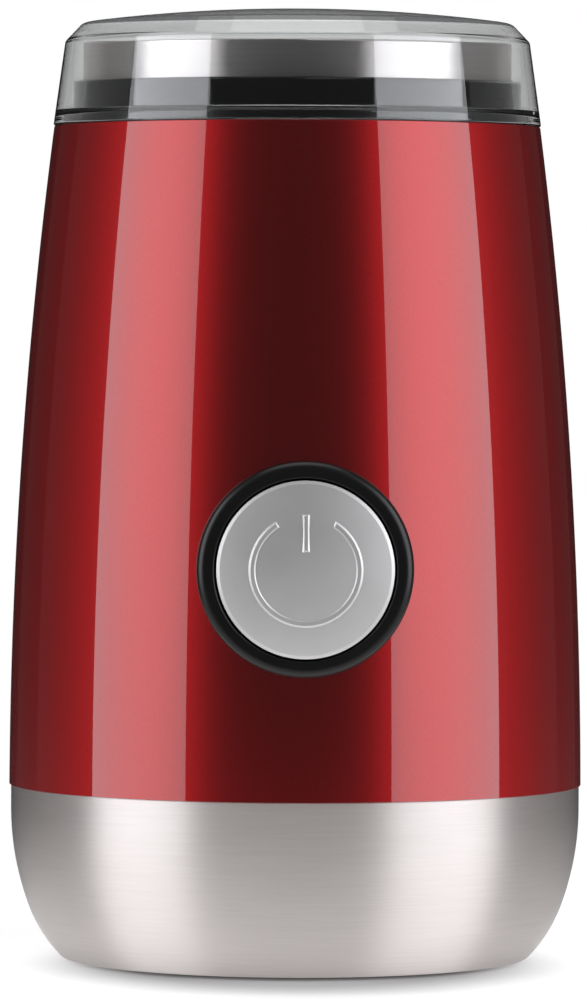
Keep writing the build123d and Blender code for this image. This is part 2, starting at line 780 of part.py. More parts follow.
with BuildPart() as chassis:
    pillar(deck_radius, deck_z, tube_step_z)
    pillar(tube_top_radius, tube_step_z, chassis_top_z)
    pillar(rim_radius, chassis_top_z - rim_height, chassis_top_z)
    pillar(tube_bore_radius, deck_top_z, chassis_top_z + overrun, mode=Mode.SUBTRACT)
    pillar(ring_radius, ring_low_z, ring_high_z)
    pillar(ring_radius - ring_wall, ring_low_z - overrun, ring_high_z + overrun, mode=Mode.SUBTRACT)
    ring_middle = ring_radius - ring_wall / 2
    with PolarLocations(post_ring_radius, post_count, post_angle):
        pillar(post_radius, post_foot_z, deck_z)
        block((0, -web / 2, ring_low_z), (ring_middle - post_ring_radius, web / 2, ring_high_z))
    with PolarLocations(post_ring_radius, post_count, post_angle):
        pillar(screw_hole_radius, post_foot_z - overrun, post_foot_z + pilot_depth, mode=Mode.SUBTRACT)
    # Button plate with the start switch's shelf
    plate_low = ring_low_z - button_z
    plate_high = deck_z - button_z
    shelf_high = -switch_thick / 2
    peg_front = switch_front - switch_peg_back
    with Locations(front):
        block((-plate_half_width, plate_low, plate_back), (plate_half_width, plate_high, plate_front))
        block((-web / 2, plate_low, plate_back), (web / 2, ring_high_z - button_z, ring_middle))
        block(
            (-shelf_half_width, shelf_high - shelf_thick, switch_front - switch_depth),
            (shelf_half_width, shelf_high, plate_back),
        )
        with Locations(
            (-switch_peg_pitch / 2, shelf_high, peg_front),
            (switch_peg_pitch / 2, shelf_high, peg_front),
        ):
            Cylinder(switch_peg_radius, switch_peg_length, rotation=(-90, 0, 0), align=up)
        pillar(stem_hole_radius, plate_back - overrun, plate_front + overrun, mode=Mode.SUBTRACT)
        hook_outer = spigot_radius + hook_barb + slip
        for side in (1, -1):
            edges = sorted((side * (spigot_radius - hook_wall - slip), side * hook_outer))
            block(
                (edges[0], -hook_width / 2 - slip, plate_back - overrun),
                (edges[1], hook_width / 2 + slip, plate_front + overrun),
                mode=Mode.SUBTRACT,
            )
    # Bracket for the lid switch, and the groove for the lid's tab and rod
    wall_outer = bracket_wall + bracket_thick
    peg_z = lid_switch_top_z - switch_peg_back
    with Locations(catch):
        block((bracket_wall, bracket_start, bracket_z), (wall_outer, bracket_end, deck_z))
        shelf_inner = bracket_wall - bracket_shelf_width
        block((shelf_inner, bracket_start, bracket_z), (wall_outer, bracket_end, lid_shelf_z))
        with Locations(
            (bracket_wall, lid_switch_along - switch_peg_pitch / 2, peg_z),
            (bracket_wall, lid_switch_along + switch_peg_pitch / 2, peg_z),
        ):
            Cylinder(switch_peg_radius, switch_peg_length, rotation=(0, -90, 0), align=up)
        block(
            (groove_floor, -groove_half, deck_z - overrun),
            (deck_radius + overrun, groove_half, chassis_top_z + overrun),
            mode=Mode.SUBTRACT,
        )
    pillar(gland_stem_radius + snug, deck_z - overrun, deck_top_z + overrun, mode=Mode.SUBTRACT)
    with GridLocations(2 * mount_x, 2 * mount_y, 2, 2):
        pillar(screw_clear_radius, deck_z - overrun, deck_top_z + overrun, mode=Mode.SUBTRACT)
    with PolarLocations(tube_bore_radius, clip_count, clip_angle):
        block(
            (-overrun, -clip_width / 2 - slip, clip_low_z - slip),
            (deck_radius - tube_bore_radius + overrun, clip_width / 2 + slip, clip_high_z + slip),
            mode=Mode.SUBTRACT,
        )
parts["chassis"] = chassis.part

with BuildPart() as button_bezel:
    with Locations(front):
        pillar(bezel_radius, bezel_root, bezel_front)
    fillet(button_bezel.faces().sort_by(Axis.Y)[0].edges(), bezel_edge_radius)
    outer_low = (body_radius + snug, seam_z)
    outer_high = (shell_top_radius + snug, shell_top_z)
    add(bulged_core(outer_low, outer_high), mode=Mode.SUBTRACT)
    with Locations(front):
        pillar(spigot_radius, plate_front, bezel_front - bezel_edge_radius)
        pillar(bezel_bore_radius, plate_front - overrun, bezel_front + overrun, mode=Mode.SUBTRACT)
    mouth = button_bezel.faces().sort_by(Axis.Y)[0].edges().sort_by(SortBy.LENGTH)[0]
    fillet(mouth, bezel_mouth_radius)
    with Locations(front):
        hook_back = plate_back - hook_depth
        for side in (1, -1):
            leg = sorted((side * (spigot_radius - hook_wall), side * (spigot_radius - snug)))
            barb = sorted((side * (spigot_radius - hook_wall), side * (spigot_radius + hook_barb)))
            block((leg[0], -hook_width / 2, hook_back), (leg[1], hook_width / 2, plate_front + hook_wall))
            block((barb[0], -hook_width / 2, hook_back), (barb[1], hook_width / 2, plate_back - slip))
parts["button_bezel"] = button_bezel.part

with BuildPart() as button_cap:
    with Locations(front):
        pillar(disc_radius, cap_back, cap_front)
        pillar(spring_pocket_radius, cap_back - overrun, spring_pocket, mode=Mode.SUBTRACT)
        pillar(stem_radius, stem_end, cap_front)
        pillar(stem_lug_radius, stem_end, plate_back - slip)
        with Locations((0, 0, stem_nose_front)):
            Sphere(stem_nose_radius)
parts["button_cap"] = button_cap.part

with BuildPart() as sign:
    with BuildSketch(front.offset(disc_front)):
        Circle(sign_radius)
        Circle(sign_radius - sign_line_width, mode=Mode.SUBTRACT)
        gap = sign_radius * math.tan(math.radians(sign_gap_angle / 2))
        Polygon(
            (0, 0),
            (gap, sign_radius),
            (gap, 2 * sign_radius),
            (-gap, 2 * sign_radius),
            (-gap, sign_radius),
            align=None,
            mode=Mode.SUBTRACT,
        )
        bar_low = sign_radius * sign_bar_low_share
        bar_high = sign_radius * sign_bar_high_share
        with Locations((0, (bar_low + bar_high) / 2)):
            SlotOverall(bar_high - bar_low, sign_line_width, rotation=90)
    extrude(amount=disc_crown + sign_height)
    with Locations(front.offset(disc_dome_middle)):
        Sphere(disc_dome_radius + sign_height, mode=Mode.INTERSECT)

with BuildPart() as button_disc:
    with Locations(front):
        pillar(disc_radius, cap_front, disc_front + disc_crown)
    with Locations(front.offset(disc_dome_middle)):
        Sphere(disc_dome_radius, mode=Mode.INTERSECT)
    chamfer(button_disc.faces().sort_by(Axis.Y)[0].edges(), disc_edge)
    add(sign.part)
parts["button_disc"] = button_disc.part

with BuildPart() as button_spring:
    coil = wound_spring(
        button_spring_radius,
        button_spring_wire_radius,
        button_spring_turns,
        spring_pocket - plate_front,
    )
    with Locations(front.offset(plate_front)):
        add(coil)
parts["button_spring"] = button_spring.part

# Snap switches: each is drawn face up, then set in its place
lid_switch_face = catch.from_local_coords((lid_switch_out, lid_switch_along, lid_switch_top_z))
switch_places = {
    "start": front.offset(switch_front),
    "lid": Plane(origin=lid_switch_face, x_dir=catch.y_dir, z_dir=(0, 0, 1)),
}
for which, place in switch_places.items():
    plunger_x = pin_x + plunger_arm
    leaning = start_lever_angle if which == "start" else 0
    lever_length = start_lever_length if which == "start" else lid_lever_length
    lean = math.radians(leaning)
    plunger_stand = lever_thick / 2 + plunger_radius + plunger_gap
    dome_z = lever_pin_stand + (plunger_arm * math.sin(lean) - plunger_stand) / math.cos(lean)
    with BuildPart() as switch_body:
        with Locations(place):
            block(
                (-switch_length / 2, -switch_thick / 2, -switch_depth),
                (switch_length / 2, switch_thick / 2, 0),
            )
            for side in (1, -1):
                ear = sorted((side * (lever_width / 2 + plunger_gap), side * switch_thick / 2))
                block((pin_x - ear_width / 2, ear[0], 0), (pin_x + ear_width / 2, ear[1], ear_height))
            with Locations((pin_x, 0, lever_pin_stand)):
                pin_bore = lever_pin_radius + snug
                Cylinder(pin_bore, switch_thick + overrun, rotation=(90, 0, 0), mode=Mode.SUBTRACT)
            with Locations((pin_x, 0, 0)):
                Box(ear_width, lever_width + 2 * plunger_gap, ear_width, mode=Mode.SUBTRACT)
            pillar(plunger_hole_radius, -plunger_room, overrun, at=(plunger_x, 0), mode=Mode.SUBTRACT)
            with Locations(
                (-switch_peg_pitch / 2, -switch_thick / 2, -switch_peg_back),
                (switch_peg_pitch / 2, -switch_thick / 2, -switch_peg_back),
            ):
                Cylinder(
                    switch_peg_radius + snug,
                    2 * (switch_peg_length + slip),
                    rotation=(90, 0, 0),
                    mode=Mode.SUBTRACT,
                )
    parts[which + "_switch_body"] = switch_body.part
    with BuildPart() as switch_lever:
        with Locations(place):
            with Locations(Location((pin_x, 0, lever_pin_stand), (0, -leaning, 0))):
                Cylinder(lever_pin_radius, switch_thick, rotation=(90, 0, 0))
                Cylinder(lever_curl_radius, lever_width, rotation=(90, 0, 0))
                block(
                    (0, -lever_width / 2, -lever_thick / 2),
                    (lever_length, lever_width / 2, lever_thick / 2),
                )
    parts[which + "_switch_lever"] = switch_lever.part
    with BuildPart() as switch_plunger:
        with Locations(place):
            pillar(plunger_radius, dome_z - plunger_length, dome_z, at=(plunger_x, 0))
            with Locations((plunger_x, 0, dome_z)):
                Sphere(plunger_radius)
    parts[which + "_switch_plunger"] = switch_plunger.part
    with BuildPart() as switch_terminals:
        with Locations(place):
            terminal_z = terminal_inset - switch_depth
            with Locations(*((step * terminal_pitch, 0, terminal_z) for step in (-1, 0, 1))):
                block(
                    (-terminal_width / 2, switch_thick / 2, -terminal_thick / 2),
                    (terminal_width / 2, switch_thick / 2 + terminal_length, terminal_thick / 2),
                )
    parts[which + "_switch_terminals"] = switch_terminals.part

with BuildPart() as interlock_rod:
    rod_outer = tab_inner + tab_thick
    with Locations(catch):
        block((tab_inner, -rod_width / 2, rod_foot_z), (rod_outer, rod_width / 2, rod_top_z))
        block(
            (bracket_wall - rod_foot_reach, -rod_width / 2, rod_foot_z),
            (rod_outer, rod_foot_end, rod_foot_z + rod_foot_thick),
        )
        block(
            (lid_switch_out - lever_width / 2, nose_low, nose_z),
            (lid_switch_out + lever_width / 2, nose_high, rod_foot_z),
        )
        peg_at = (lid_switch_out, interlock_spring_offset)
        pillar(spring_peg_radius, rod_foot_z - spring_peg_length, rod_foot_z, at=peg_at)
parts["interlock_rod"] = interlock_rod.part

with BuildPart() as interlock_spring:
    coil = wound_spring(
        interlock_spring_radius,
        interlock_spring_wire_radius,
        interlock_spring_turns,
        rod_foot_z - lid_shelf_z,
    )
    with Locations(catch):
        with Locations((lid_switch_out, interlock_spring_offset, lid_shelf_z)):
            add(coil)
parts["interlock_spring"] = interlock_spring.part

with BuildPart() as stator_core:
    motor_slab(stack_low_z, stack_high_z)
    with BuildSketch(Plane.XY.offset(stack_low_z)):
        with GridLocations(window_inner + window_outer, window_low + window_high, 2, 2):
            Rectangle(window_outer - window_inner, window_high - window_low)
        Circle(shoe_radius, mode=Mode.SUBTRACT)
        Circle(stator_bore_radius)
        with Locations((0, bolt_offset), (0, -bolt_offset)):
            Circle(bolt_hole_radius)
    extrude(amount=stack_height, mode=Mode.SUBTRACT)
parts["stator_core"] = stator_core.part

for place, side in {"right": 1, "left": -1}.items():
    with BuildPart() as field_coil:
        coil_face = Plane(origin=(side * coil_inner, 0, motor_z), x_dir=(0, side, 0), z_dir=(side, 0, 0))
        loop_width = 2 * (window_high - coil_gap)
        loop_height = stack_height + 2 * (coil_gap + coil_end)
        with BuildSketch(coil_face):
            RectangleRounded(loop_width, loop_height, coil_round_radius)
            Rectangle(2 * (window_low + coil_gap), stack_height + 2 * coil_gap, mode=Mode.SUBTRACT)
        extrude(amount=window_outer - 2 * coil_gap - coil_inner)
        pillar(shoe_radius + coil_gap, 0, 2 * motor_z, mode=Mode.SUBTRACT)
    parts["field_coil_" + place] = field_coil.part

with BuildPart() as upper_bracket:
    add(motor_bracket(upper_plate_z, upper_bush_z, stack_high_z))
    with GridLocations(2 * mount_x, 2 * mount_y, 2, 2):
        pillar(screw_hole_radius, upper_plate_z - overrun, upper_plate_top_z + overrun, mode=Mode.SUBTRACT)
parts["upper_bracket"] = upper_bracket.part
parts["lower_bracket"] = motor_bracket(lower_plate_z, lower_bush_z, stack_low_z)

for place, bush_z in {"upper": upper_bush_z, "lower": lower_bush_z}.items():
    with BuildPart() as bearing:
        pillar(bush_radius, bush_z, bush_z + bush_length)
        pillar(shaft_radius + running, bush_z - overrun, bush_z + bush_length + overrun, mode=Mode.SUBTRACT)
    parts[place + "_bearing"] = bearing.part

for place, side in {"right": 1, "left": -1}.items():
    brush_side = Plane(origin=(0, 0, brush_z), x_dir=(0, side, 0), z_dir=(side, 0, 0))
    with BuildPart() as brush_holder:
        with Locations(brush_side):
            block(
                (-holder_half_width, holder_low_z - brush_z, holder_inner),
                (holder_half_width, holder_low_z + holder_height - brush_z, holder_outer),
            )
            room_width = brush_width / 2 + brush_fit_gap
            room_height = brush_height / 2 + brush_fit_gap
            block(
                (-room_width, -room_height, holder_inner - overrun),
                (room_width, room_height, holder_outer - holder_end_wall),
                mode=Mode.SUBTRACT,
            )
    parts["brush_holder_" + place] = brush_holder.part
    with BuildPart() as carbon_brush:
        with Locations(brush_side):
            block(
                (-brush_width / 2, -brush_height / 2, commutator_radius - brush_width / 2),
                (brush_width / 2, brush_height / 2, brush_back),
            )
        pillar(commutator_radius + brush_gap, 0, motor_z, mode=Mode.SUBTRACT)
    parts["carbon_brush_" + place] = carbon_brush.part
    with BuildPart() as brush_spring:
        coil = wound_spring(
            brush_spring_radius,
            brush_spring_wire_radius,
            brush_spring_turns,
            holder_outer - holder_end_wall - brush_back,
        )
        with Locations(brush_side.offset(brush_back)):
            add(coil)
    parts["brush_spring_" + place] = brush_spring.part

with BuildPart() as motor_bolts:
    with Locations((0, bolt_offset), (0, -bolt_offset)):
        pillar(bolt_head_radius, lower_plate_z - bolt_head_height, lower_plate_z)
        pillar(bolt_radius, lower_plate_z - bolt_head_height, upper_plate_top_z)
parts["motor_bolts"] = motor_bolts.part

with BuildPart() as motor_mounts:
    with GridLocations(2 * mount_x, 2 * mount_y, 2, 2):
        pillar(mount_radius, upper_plate_top_z, deck_z)
    with GridLocations(2 * mount_x, 2 * mount_y, 2, 2):
        pillar(mount_bore_radius, upper_plate_top_z - overrun, deck_z + overrun, mode=Mode.SUBTRACT)
parts["motor_mounts"] = motor_mounts.part

with BuildPart() as mount_screws:
    with GridLocations(2 * mount_x, 2 * mount_y, 2, 2):
        pillar(mount_screw_head_radius, deck_top_z, deck_top_z + mount_screw_head_height)
        pillar(screw_radius, upper_plate_z, deck_top_z + mount_screw_head_height)
parts["mount_screws"] = mount_screws.part

with BuildPart() as motor_shaft:
    pillar(shaft_radius, shaft_low_z, shaft_high_z)
parts["motor_shaft"] = motor_shaft.part

with BuildPart() as armature_core:
    with BuildSketch(Plane.XY.offset(core_low_z)):
        Circle(core_radius)
        with PolarLocations(core_radius, core_slot_count):
            Rectangle(2 * core_slot_depth, core_slot_width, mode=Mode.SUBTRACT)
        Circle(shaft_radius + snug, mode=Mode.SUBTRACT)
    extrude(amount=core_height)
parts["armature_core"] = armature_core.part

with BuildPart() as armature_winding:
    for low_z in (core_low_z - winding_height, core_high_z):
        with BuildSketch(Plane.XZ):
            with Locations(((winding_bore_radius + winding_radius) / 2, low_z + winding_height / 2)):
                RectangleRounded(winding_radius - winding_bore_radius, winding_height, winding_round_radius)
        revolve(axis=Axis.Z)
parts["armature_winding"] = armature_winding.part

with BuildPart() as commutator:
    commutator_top_z = commutator_z + commutator_height
    pillar(commutator_radius, commutator_z, commutator_top_z)
    pillar(riser_radius, commutator_top_z - riser_height, commutator_top_z)
    with PolarLocations(commutator_radius, core_slot_count):
        block(
            (-bar_slot_depth, -bar_slot_width / 2, commutator_z - overrun),
            (overrun + riser_radius - commutator_radius, bar_slot_width / 2, commutator_top_z + overrun),
            mode=Mode.SUBTRACT,
        )
    pillar(shaft_radius + snug, commutator_z - overrun, commutator_top_z + overrun, mode=Mode.SUBTRACT)
parts["commutator"] = commutator.part

with BuildPart() as thrust_washers:
    lower_washer_z = lower_bush_z + bush_length + bush_stand + washer_gap
    upper_washer_z = upper_bush_z - bush_stand - washer_gap - washer_thick
    for low_z in (lower_washer_z, upper_washer_z):
        pillar(washer_radius, low_z, low_z + washer_thick)
    pillar(shaft_radius + snug, shaft_low_z, shaft_high_z, mode=Mode.SUBTRACT)
parts["thrust_washers"] = thrust_washers.part

with BuildPart() as blade_hub:
    pillar(hub_radius, hub_z, blade_z)
    pillar(shaft_radius + snug, hub_z - overrun, blade_z + overrun, mode=Mode.SUBTRACT)
parts["blade_hub"] = blade_hub.part

with BuildPart() as blade:
    with BuildSketch(Plane.XZ):
        with BuildLine():
            Polyline(
                (-blade_reach, blade_z + blade_lift),
                (-blade_flat, blade_z),
                (blade_flat, blade_z),
                (blade_reach, blade_z - blade_lift),
                (blade_reach, blade_z - blade_lift + blade_thick),
                (blade_flat, blade_z + blade_thick),
                (-blade_flat, blade_z + blade_thick),
                (-blade_reach, blade_z + blade_lift + blade_thick),
                close=True,
            )
        make_face()
    extrude(amount=blade_root, both=True)
    with BuildSketch(Plane.XY.offset(blade_z - 2 * blade_lift)):
        wing = [
            (blade_flat, -blade_root),
            (blade_reach - blade_nose, -blade_tip),
            (blade_reach, blade_nose - blade_tip),
            (blade_reach, blade_back),
            (blade_flat, blade_root),
        ]
        Polygon(*wing, *((-x, -y) for x, y in wing), align=None)
    extrude(amount=4 * blade_lift + blade_thick, mode=Mode.INTERSECT)
    pillar(shaft_radius + snug, blade_z - overrun, blade_nut_z + overrun, mode=Mode.SUBTRACT)
    for side in (1, -1):
        tops = [f for f in blade.faces() if f.normal_at().Z > 0 and side * f.center().X > blade_flat]
        wing_top = max(tops, key=lambda f: f.area)
        lead = max(wing_top.edges(), key=lambda e: e.length - side * e.center().Y)
        chamfer(lead, blade_bevel_width, blade_bevel, reference=wing_top)
parts["blade"] = blade.part

with BuildPart() as blade_nut:
    nut_top_z = blade_nut_z + blade_nut_height
    with BuildSketch(Plane.XY.offset(blade_nut_z)):
        RegularPolygon(shaft_radius + blade_nut_wall, 6)
    extrude(amount=blade_nut_height + nut_roof)
    with BuildSketch(Plane.XY.offset(nut_top_z + nut_roof)):
        Circle(shaft_radius + nut_roof)
    extrude(amount=blade_nut_dome)
    dome_top_z = nut_top_z + nut_roof + blade_nut_dome
    fillet(rim(blade_nut, shaft_radius + nut_roof, dome_top_z), blade_nut_dome / 2)
    pillar(shaft_radius + snug, blade_nut_z - overrun, nut_top_z + snug, mode=Mode.SUBTRACT)
parts["blade_nut"] = blade_nut.part

with BuildPart() as terminal_block:
    block_y = (block_low_y + block_high_y) / 2
    block_top_z = cover_top_z + block_height
    well_z = block_top_z - block_screw_depth
    block((-block_half_width, block_low_y, cover_top_z), (block_half_width, block_high_y, block_top_z))
    fillet(terminal_block.edges().filter_by(Axis.Z), block_edge_radius)
    for side in (1, -1):
        well = (side * block_screw_pitch / 2, block_y)
        pillar(block_screw_radius, well_z, block_top_z + overrun, at=well, mode=Mode.SUBTRACT)
parts["terminal_block"] = terminal_block.part

with BuildPart() as suppression_capacitor:
    block(
        (-capacitor_half_width, capacitor_low_y, cover_top_z),
        (capacitor_half_width, capacitor_high_y, cover_top_z + capacitor_height),
    )
    fillet(suppression_capacitor.edges().filter_by(Axis.Z), capacitor_edge_radius)
parts["suppression_capacitor"] = suppression_capacitor.part

with BuildPart() as wiring:
    start_y = switch_depth - terminal_inset - switch_front
    start_top_z = button_z + switch_thick / 2 + terminal_length
    tab_under_z = lid_switch_top_z - switch_depth + terminal_inset - terminal_thick / 2
    riser = bracket_wall - riser_inset
    lead_high_z = deck_z - lead_below_deck
    post_edge = post_ring_radius * math.sin(math.radians(post_angle)) + post_radius
    lead_ahead = post_edge + lead_post_gap
    lead_corner = post_edge + lead_corner_gap
    supply_side = stator_width / 2 + supply_gap
    neutral_side = stator_width / 2 + neutral_gap
    brush_lead_side = stator_width / 2 + brush_lead_gap
    lead_under_z = bracket_z - lead_under
    brush_lead_z = holder_low_z + brush_lead_stand
    coil_lead_z = motor_z + coil_lead_above
    common = catch.from_local_coords((riser, lid_switch_along, 0))
    contact = catch.from_local_coords((riser, lid_switch_along + terminal_pitch, 0))
    coil_side = window_outer - 2 * coil_gap
    capacitor_y = (capacitor_low_y + capacitor_high_y) / 2
    capacitor_top_z = cover_top_z + capacitor_height
    well_x = block_screw_pitch / 2
    runs = [
        [
            (-block_half_width, block_y, lead_low_z),
            (-supply_side, block_y, lead_low_z),
            (-supply_side, block_y, lead_high_z),
            (-lead_corner, -lead_ahead, lead_high_z),
            (-terminal_pitch, -lead_ahead, lead_high_z),
            (-terminal_pitch, start_y, lead_high_z),
            (-terminal_pitch, start_y, start_top_z),
        ],
        [
            (terminal_pitch, start_y, start_top_z),
            (terminal_pitch, start_y, lead_high_z),
            (terminal_pitch, -lead_ahead, lead_high_z),
            (lead_corner, -lead_ahead, lead_high_z),
            (lead_corner, -lead_ahead, lead_under_z),
            (common.X, common.Y, lead_under_z),
            (common.X, common.Y, tab_under_z),
        ],
        [
            (contact.X, contact.Y, tab_under_z),
            (contact.X, contact.Y, brush_lead_z),
            (holder_outer + lead_end, -brush_lead_y, brush_lead_z),
            (holder_outer, -brush_lead_y, brush_lead_z),
        ],
        [
            (block_half_width, block_y, lead_low_z),
            (neutral_side, block_y, lead_low_z),
            (neutral_side, block_y, coil_lead_z),
            (coil_side + lead_end, coil_lead_y, coil_lead_z),
            (coil_side, coil_lead_y, coil_lead_z),
        ],
        [
            (-holder_outer, brush_lead_y, brush_lead_z),
            (-brush_lead_side, brush_lead_y, brush_lead_z),
            (-brush_lead_side, brush_lead_y, coil_lead_z),
            (-coil_side, brush_lead_y, coil_lead_z),
        ],
    ]
    for side in (1, -1):
        runs.append([
            (side * capacitor_lead_x, capacitor_y, capacitor_top_z),
            (side * capacitor_lead_x, capacitor_y, capacitor_lead_z),
            (side * well_x, block_y, capacitor_lead_z),
            (side * well_x, block_y, well_z),
        ])
    for run in runs:
        with BuildLine() as lead:
            Polyline(*run)
        with BuildSketch(Plane(origin=lead.line @ 0, z_dir=lead.line % 0)):
            Circle(lead_radius)
        sweep(path=lead.line, transition=Transition.ROUND)
parts["wiring"] = wiring.part

os.makedirs("parts", exist_ok=True)
for label, solid in parts.items():
    solid.label = label
    export_step(solid, "parts/" + label + ".step")
print(len(parts), "parts")
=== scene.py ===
import bmesh
import bpy
import math
import numpy as np
from mathutils import Matrix, Quaternion, Vector


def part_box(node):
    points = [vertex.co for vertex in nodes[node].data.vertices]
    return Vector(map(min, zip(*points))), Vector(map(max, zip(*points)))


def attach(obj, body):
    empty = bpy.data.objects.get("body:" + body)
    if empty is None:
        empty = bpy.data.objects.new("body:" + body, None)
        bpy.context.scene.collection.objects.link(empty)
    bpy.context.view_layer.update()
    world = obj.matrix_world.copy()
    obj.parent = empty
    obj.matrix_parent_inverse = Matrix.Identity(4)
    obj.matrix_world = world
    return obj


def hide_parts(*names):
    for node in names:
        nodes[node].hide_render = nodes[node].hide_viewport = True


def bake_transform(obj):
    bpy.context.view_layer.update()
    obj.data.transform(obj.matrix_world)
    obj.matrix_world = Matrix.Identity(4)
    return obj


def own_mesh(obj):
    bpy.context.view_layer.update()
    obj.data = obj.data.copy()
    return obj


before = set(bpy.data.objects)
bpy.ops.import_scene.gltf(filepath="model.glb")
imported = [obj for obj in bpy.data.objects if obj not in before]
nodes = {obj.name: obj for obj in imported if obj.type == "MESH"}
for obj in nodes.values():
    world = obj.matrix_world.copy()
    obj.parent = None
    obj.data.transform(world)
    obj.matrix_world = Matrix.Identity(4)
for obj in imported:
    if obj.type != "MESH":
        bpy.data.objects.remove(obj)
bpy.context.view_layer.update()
scene = bpy.context.scene
scene.view_settings.view_transform = "Standard"
mm = 0.001
up = Vector((0, 0, 1))
print("frame loaded:", len(nodes), "nodes")

# camera where the photograph was taken from, in metres and degrees
cameraSetup = {
    "distance": 1.112,     # to the motor shaft
    "height": 0.1061,
    "swing": 1.86,         # to the left of the button
    "pitch": 1.404,        # down
    "roll": 0.21,
    "aside": -0.00042,
    "lens": 233.65,        # lens and sensor in millimetres
    "sensor": 36,
}


def placeCamera(setup):
    swing = math.radians(setup["swing"])
    pitch = math.radians(setup["pitch"])
    data = bpy.data.cameras.new("photoCamera")
    data.sensor_fit = "VERTICAL"
    data.sensor_height = setup["sensor"]
    data.lens = setup["lens"]
    ahead = Vector((math.sin(swing), math.cos(swing), 0))
    right = Vector((math.cos(swing), -math.sin(swing), 0))
    camera = bpy.data.objects.new("photoCamera", data)
    camera.location = right * setup["aside"] - ahead * setup["distance"] + up * setup["height"]
    look = ahead * math.cos(pitch) - up * math.sin(pitch)
    tilt = Quaternion((0, 0, 1), math.radians(setup["roll"]))
    camera.rotation_mode = "QUATERNION"
    camera.rotation_quaternion = look.to_track_quat("-Z", "Y") @ tilt
    scene.collection.objects.link(camera)
    scene.camera = camera


placeCamera(cameraSetup)
print("camera placed")


# what the rest of the script makes its meshes and node trees with
def meshFrom(net, name):
    mesh = bpy.data.meshes.new(name)
    net.to_mesh(mesh)
    net.free()
    return mesh


def addNode(tree, kind, **sockets):
    node = tree.nodes.new("ShaderNode" + kind)
    for socket, value in sockets.items():
        node.inputs[socket.replace("_", " ")].default_value = value
    return node


def mathsOf(tree, operation, *values):
    node = addNode(tree, "Math")
    node.operation = operation
    for value, socket in zip(values, node.inputs):
        tree.links.new(value, socket)
    return node.outputs[0]


def spread(tree, value, low, high, lowAt=0.3, highAt=0.7):
    span = addNode(tree, "MapRange", From_Min=lowAt, From_Max=highAt, To_Min=low, To_Max=high)
    tree.links.new(value, span.inputs["Value"])
    return span.outputs[0]


# studio: two tall strip boxes beside the camera, one box overhead, a pale floor
studioLight = {
    "sideAway": 1.0,       # metres from the shaft
    "leftWidth": 0.80,
    "rightWidth": 0.93,
    "sideHeight": 1.1,
    "sideMiddle": 0.42,    # height of the box's middle
    "leftBearing": 65.0,   # degrees from the camera's side
    "rightBearing": 62.8,
    "sideGlow": 3.1,       # radiance
    "sideTint": (0.985, 1.0, 1.04),
    "nearShare": 0.86,     # glow at the edge nearest the camera
    "farShare": 1.14,
    "topHeight": 1.1,
    "topAhead": 0.1,
    "topSize": 0.9,
    "topGlow": 1.0,
    "airForShade": 0.3,    # what the white surroundings give as light
}

# floor in metres; its own glow keeps it white to the camera, and dims near the base into a painted
# shadow over the real one
floorSetup = {
    "radius": 0.20,
    "sides": 128,
    "tone": 0.45,
    "rough": 0.9,
    "shadeMiddle": 0.012,  # ahead of the shaft
    "shadeNarrow": 1.3,
    "shadeRadius": 0.034,  # the painted shadow is at its darkest inside this, where the real shadow shows in full
    "clearRadius": 0.064,
    "shadeGlow": 0.06,
    "clearGlow": 0.72,
    # radius and glow of the floor as the steel sees it: dim near the base, a painted shadow, then a
    # painted bright ring
    "mirrorGlow": ((0.036, 0.18), (0.047, 0.85), (0.07, 1.2), (0.11, 0.5)),
}

# dark card round the set, which only reflections and the lid see
wallSetup = {
    "away": 2.4,
    "low": -9.0,
    "high": 8.0,
    "step": 5,
    "cards": {              # bearings from and to, glow, glow seen through the lid
        "frontCard": (-92, 92, 0.12, 0.05),
        "rightCard": (92, 128, 0.09, 0.28),
        "rightRearCard": (128, 152, 0.04, 0.5),
        "backCard": (152, 208, 0.015, 0.62),
        "leftRearCard": (208, 232, 0.04, 0.5),
        "leftCard": (232, 268, 0.09, 0.28),
    },
}


def softBox(name, width, height, glow, spot, target, tint=(1, 1, 1), shares=None):
    lamp = bpy.data.lights.new(name, "AREA")
    lamp.shape = "RECTANGLE"
    lamp.size = width
    lamp.size_y = height
    lamp.energy = glow * math.pi * width * height
    lamp.color = tint
    if shares:
        lamp.use_nodes = True
        tree = lamp.node_tree
        place = addNode(tree, "NewGeometry")
        split = addNode(tree, "SeparateXYZ")
        tree.links.new(place.outputs["Parametric"], split.inputs[0])
        level = spread(tree, split.outputs["X"], *shares, 0, 1)
        tree.links.new(level, tree.nodes["Emission"].inputs["Strength"])
    box = bpy.data.objects.new(name, lamp)
    box.location = spot
    box.rotation_euler = (Vector(target) - Vector(spot)).to_track_quat("-Z", "Y").to_euler()
    box.visible_camera = False
    scene.collection.objects.link(box)


def lightStudio(setup):
    swing = math.radians(cameraSetup["swing"])
    away, middle = setup["sideAway"], setup["sideMiddle"]
    for side, hand in (("left", -1), ("right", 1)):
        turn = hand * math.radians(setup[side + "Bearing"]) - swing
        spot = (away * math.sin(turn), -away * math.cos(turn), middle)
        shares = (setup["nearShare"], setup["farShare"])[::hand]
        softBox(
            side + "Strip", setup[side + "Width"], setup["sideHeight"], setup["sideGlow"],
            spot, (0, 0, middle), setup["sideTint"], shares,
        )
    size = setup["topSize"]
    above = (0, -setup["topAhead"], setup["topHeight"])
    softBox("topBox", size, size, setup["topGlow"], above, (0, 0, 0))
    world = bpy.data.worlds.new("studioAir")
    world.use_nodes = True
    scene.world = world
    tree = world.node_tree
    path = addNode(tree, "LightPath").outputs
    seen = mathsOf(tree, "MAXIMUM", path["Is Camera Ray"], path["Is Glossy Ray"])
    seen = mathsOf(tree, "MAXIMUM", seen, path["Is Transmission Ray"])
    air = tree.nodes["Background"]
    air.inputs["Color"].default_value = (1, 1, 1, 1)
    tree.links.new(spread(tree, seen, setup["airForShade"], 1, 0, 1), air.inputs["Strength"])


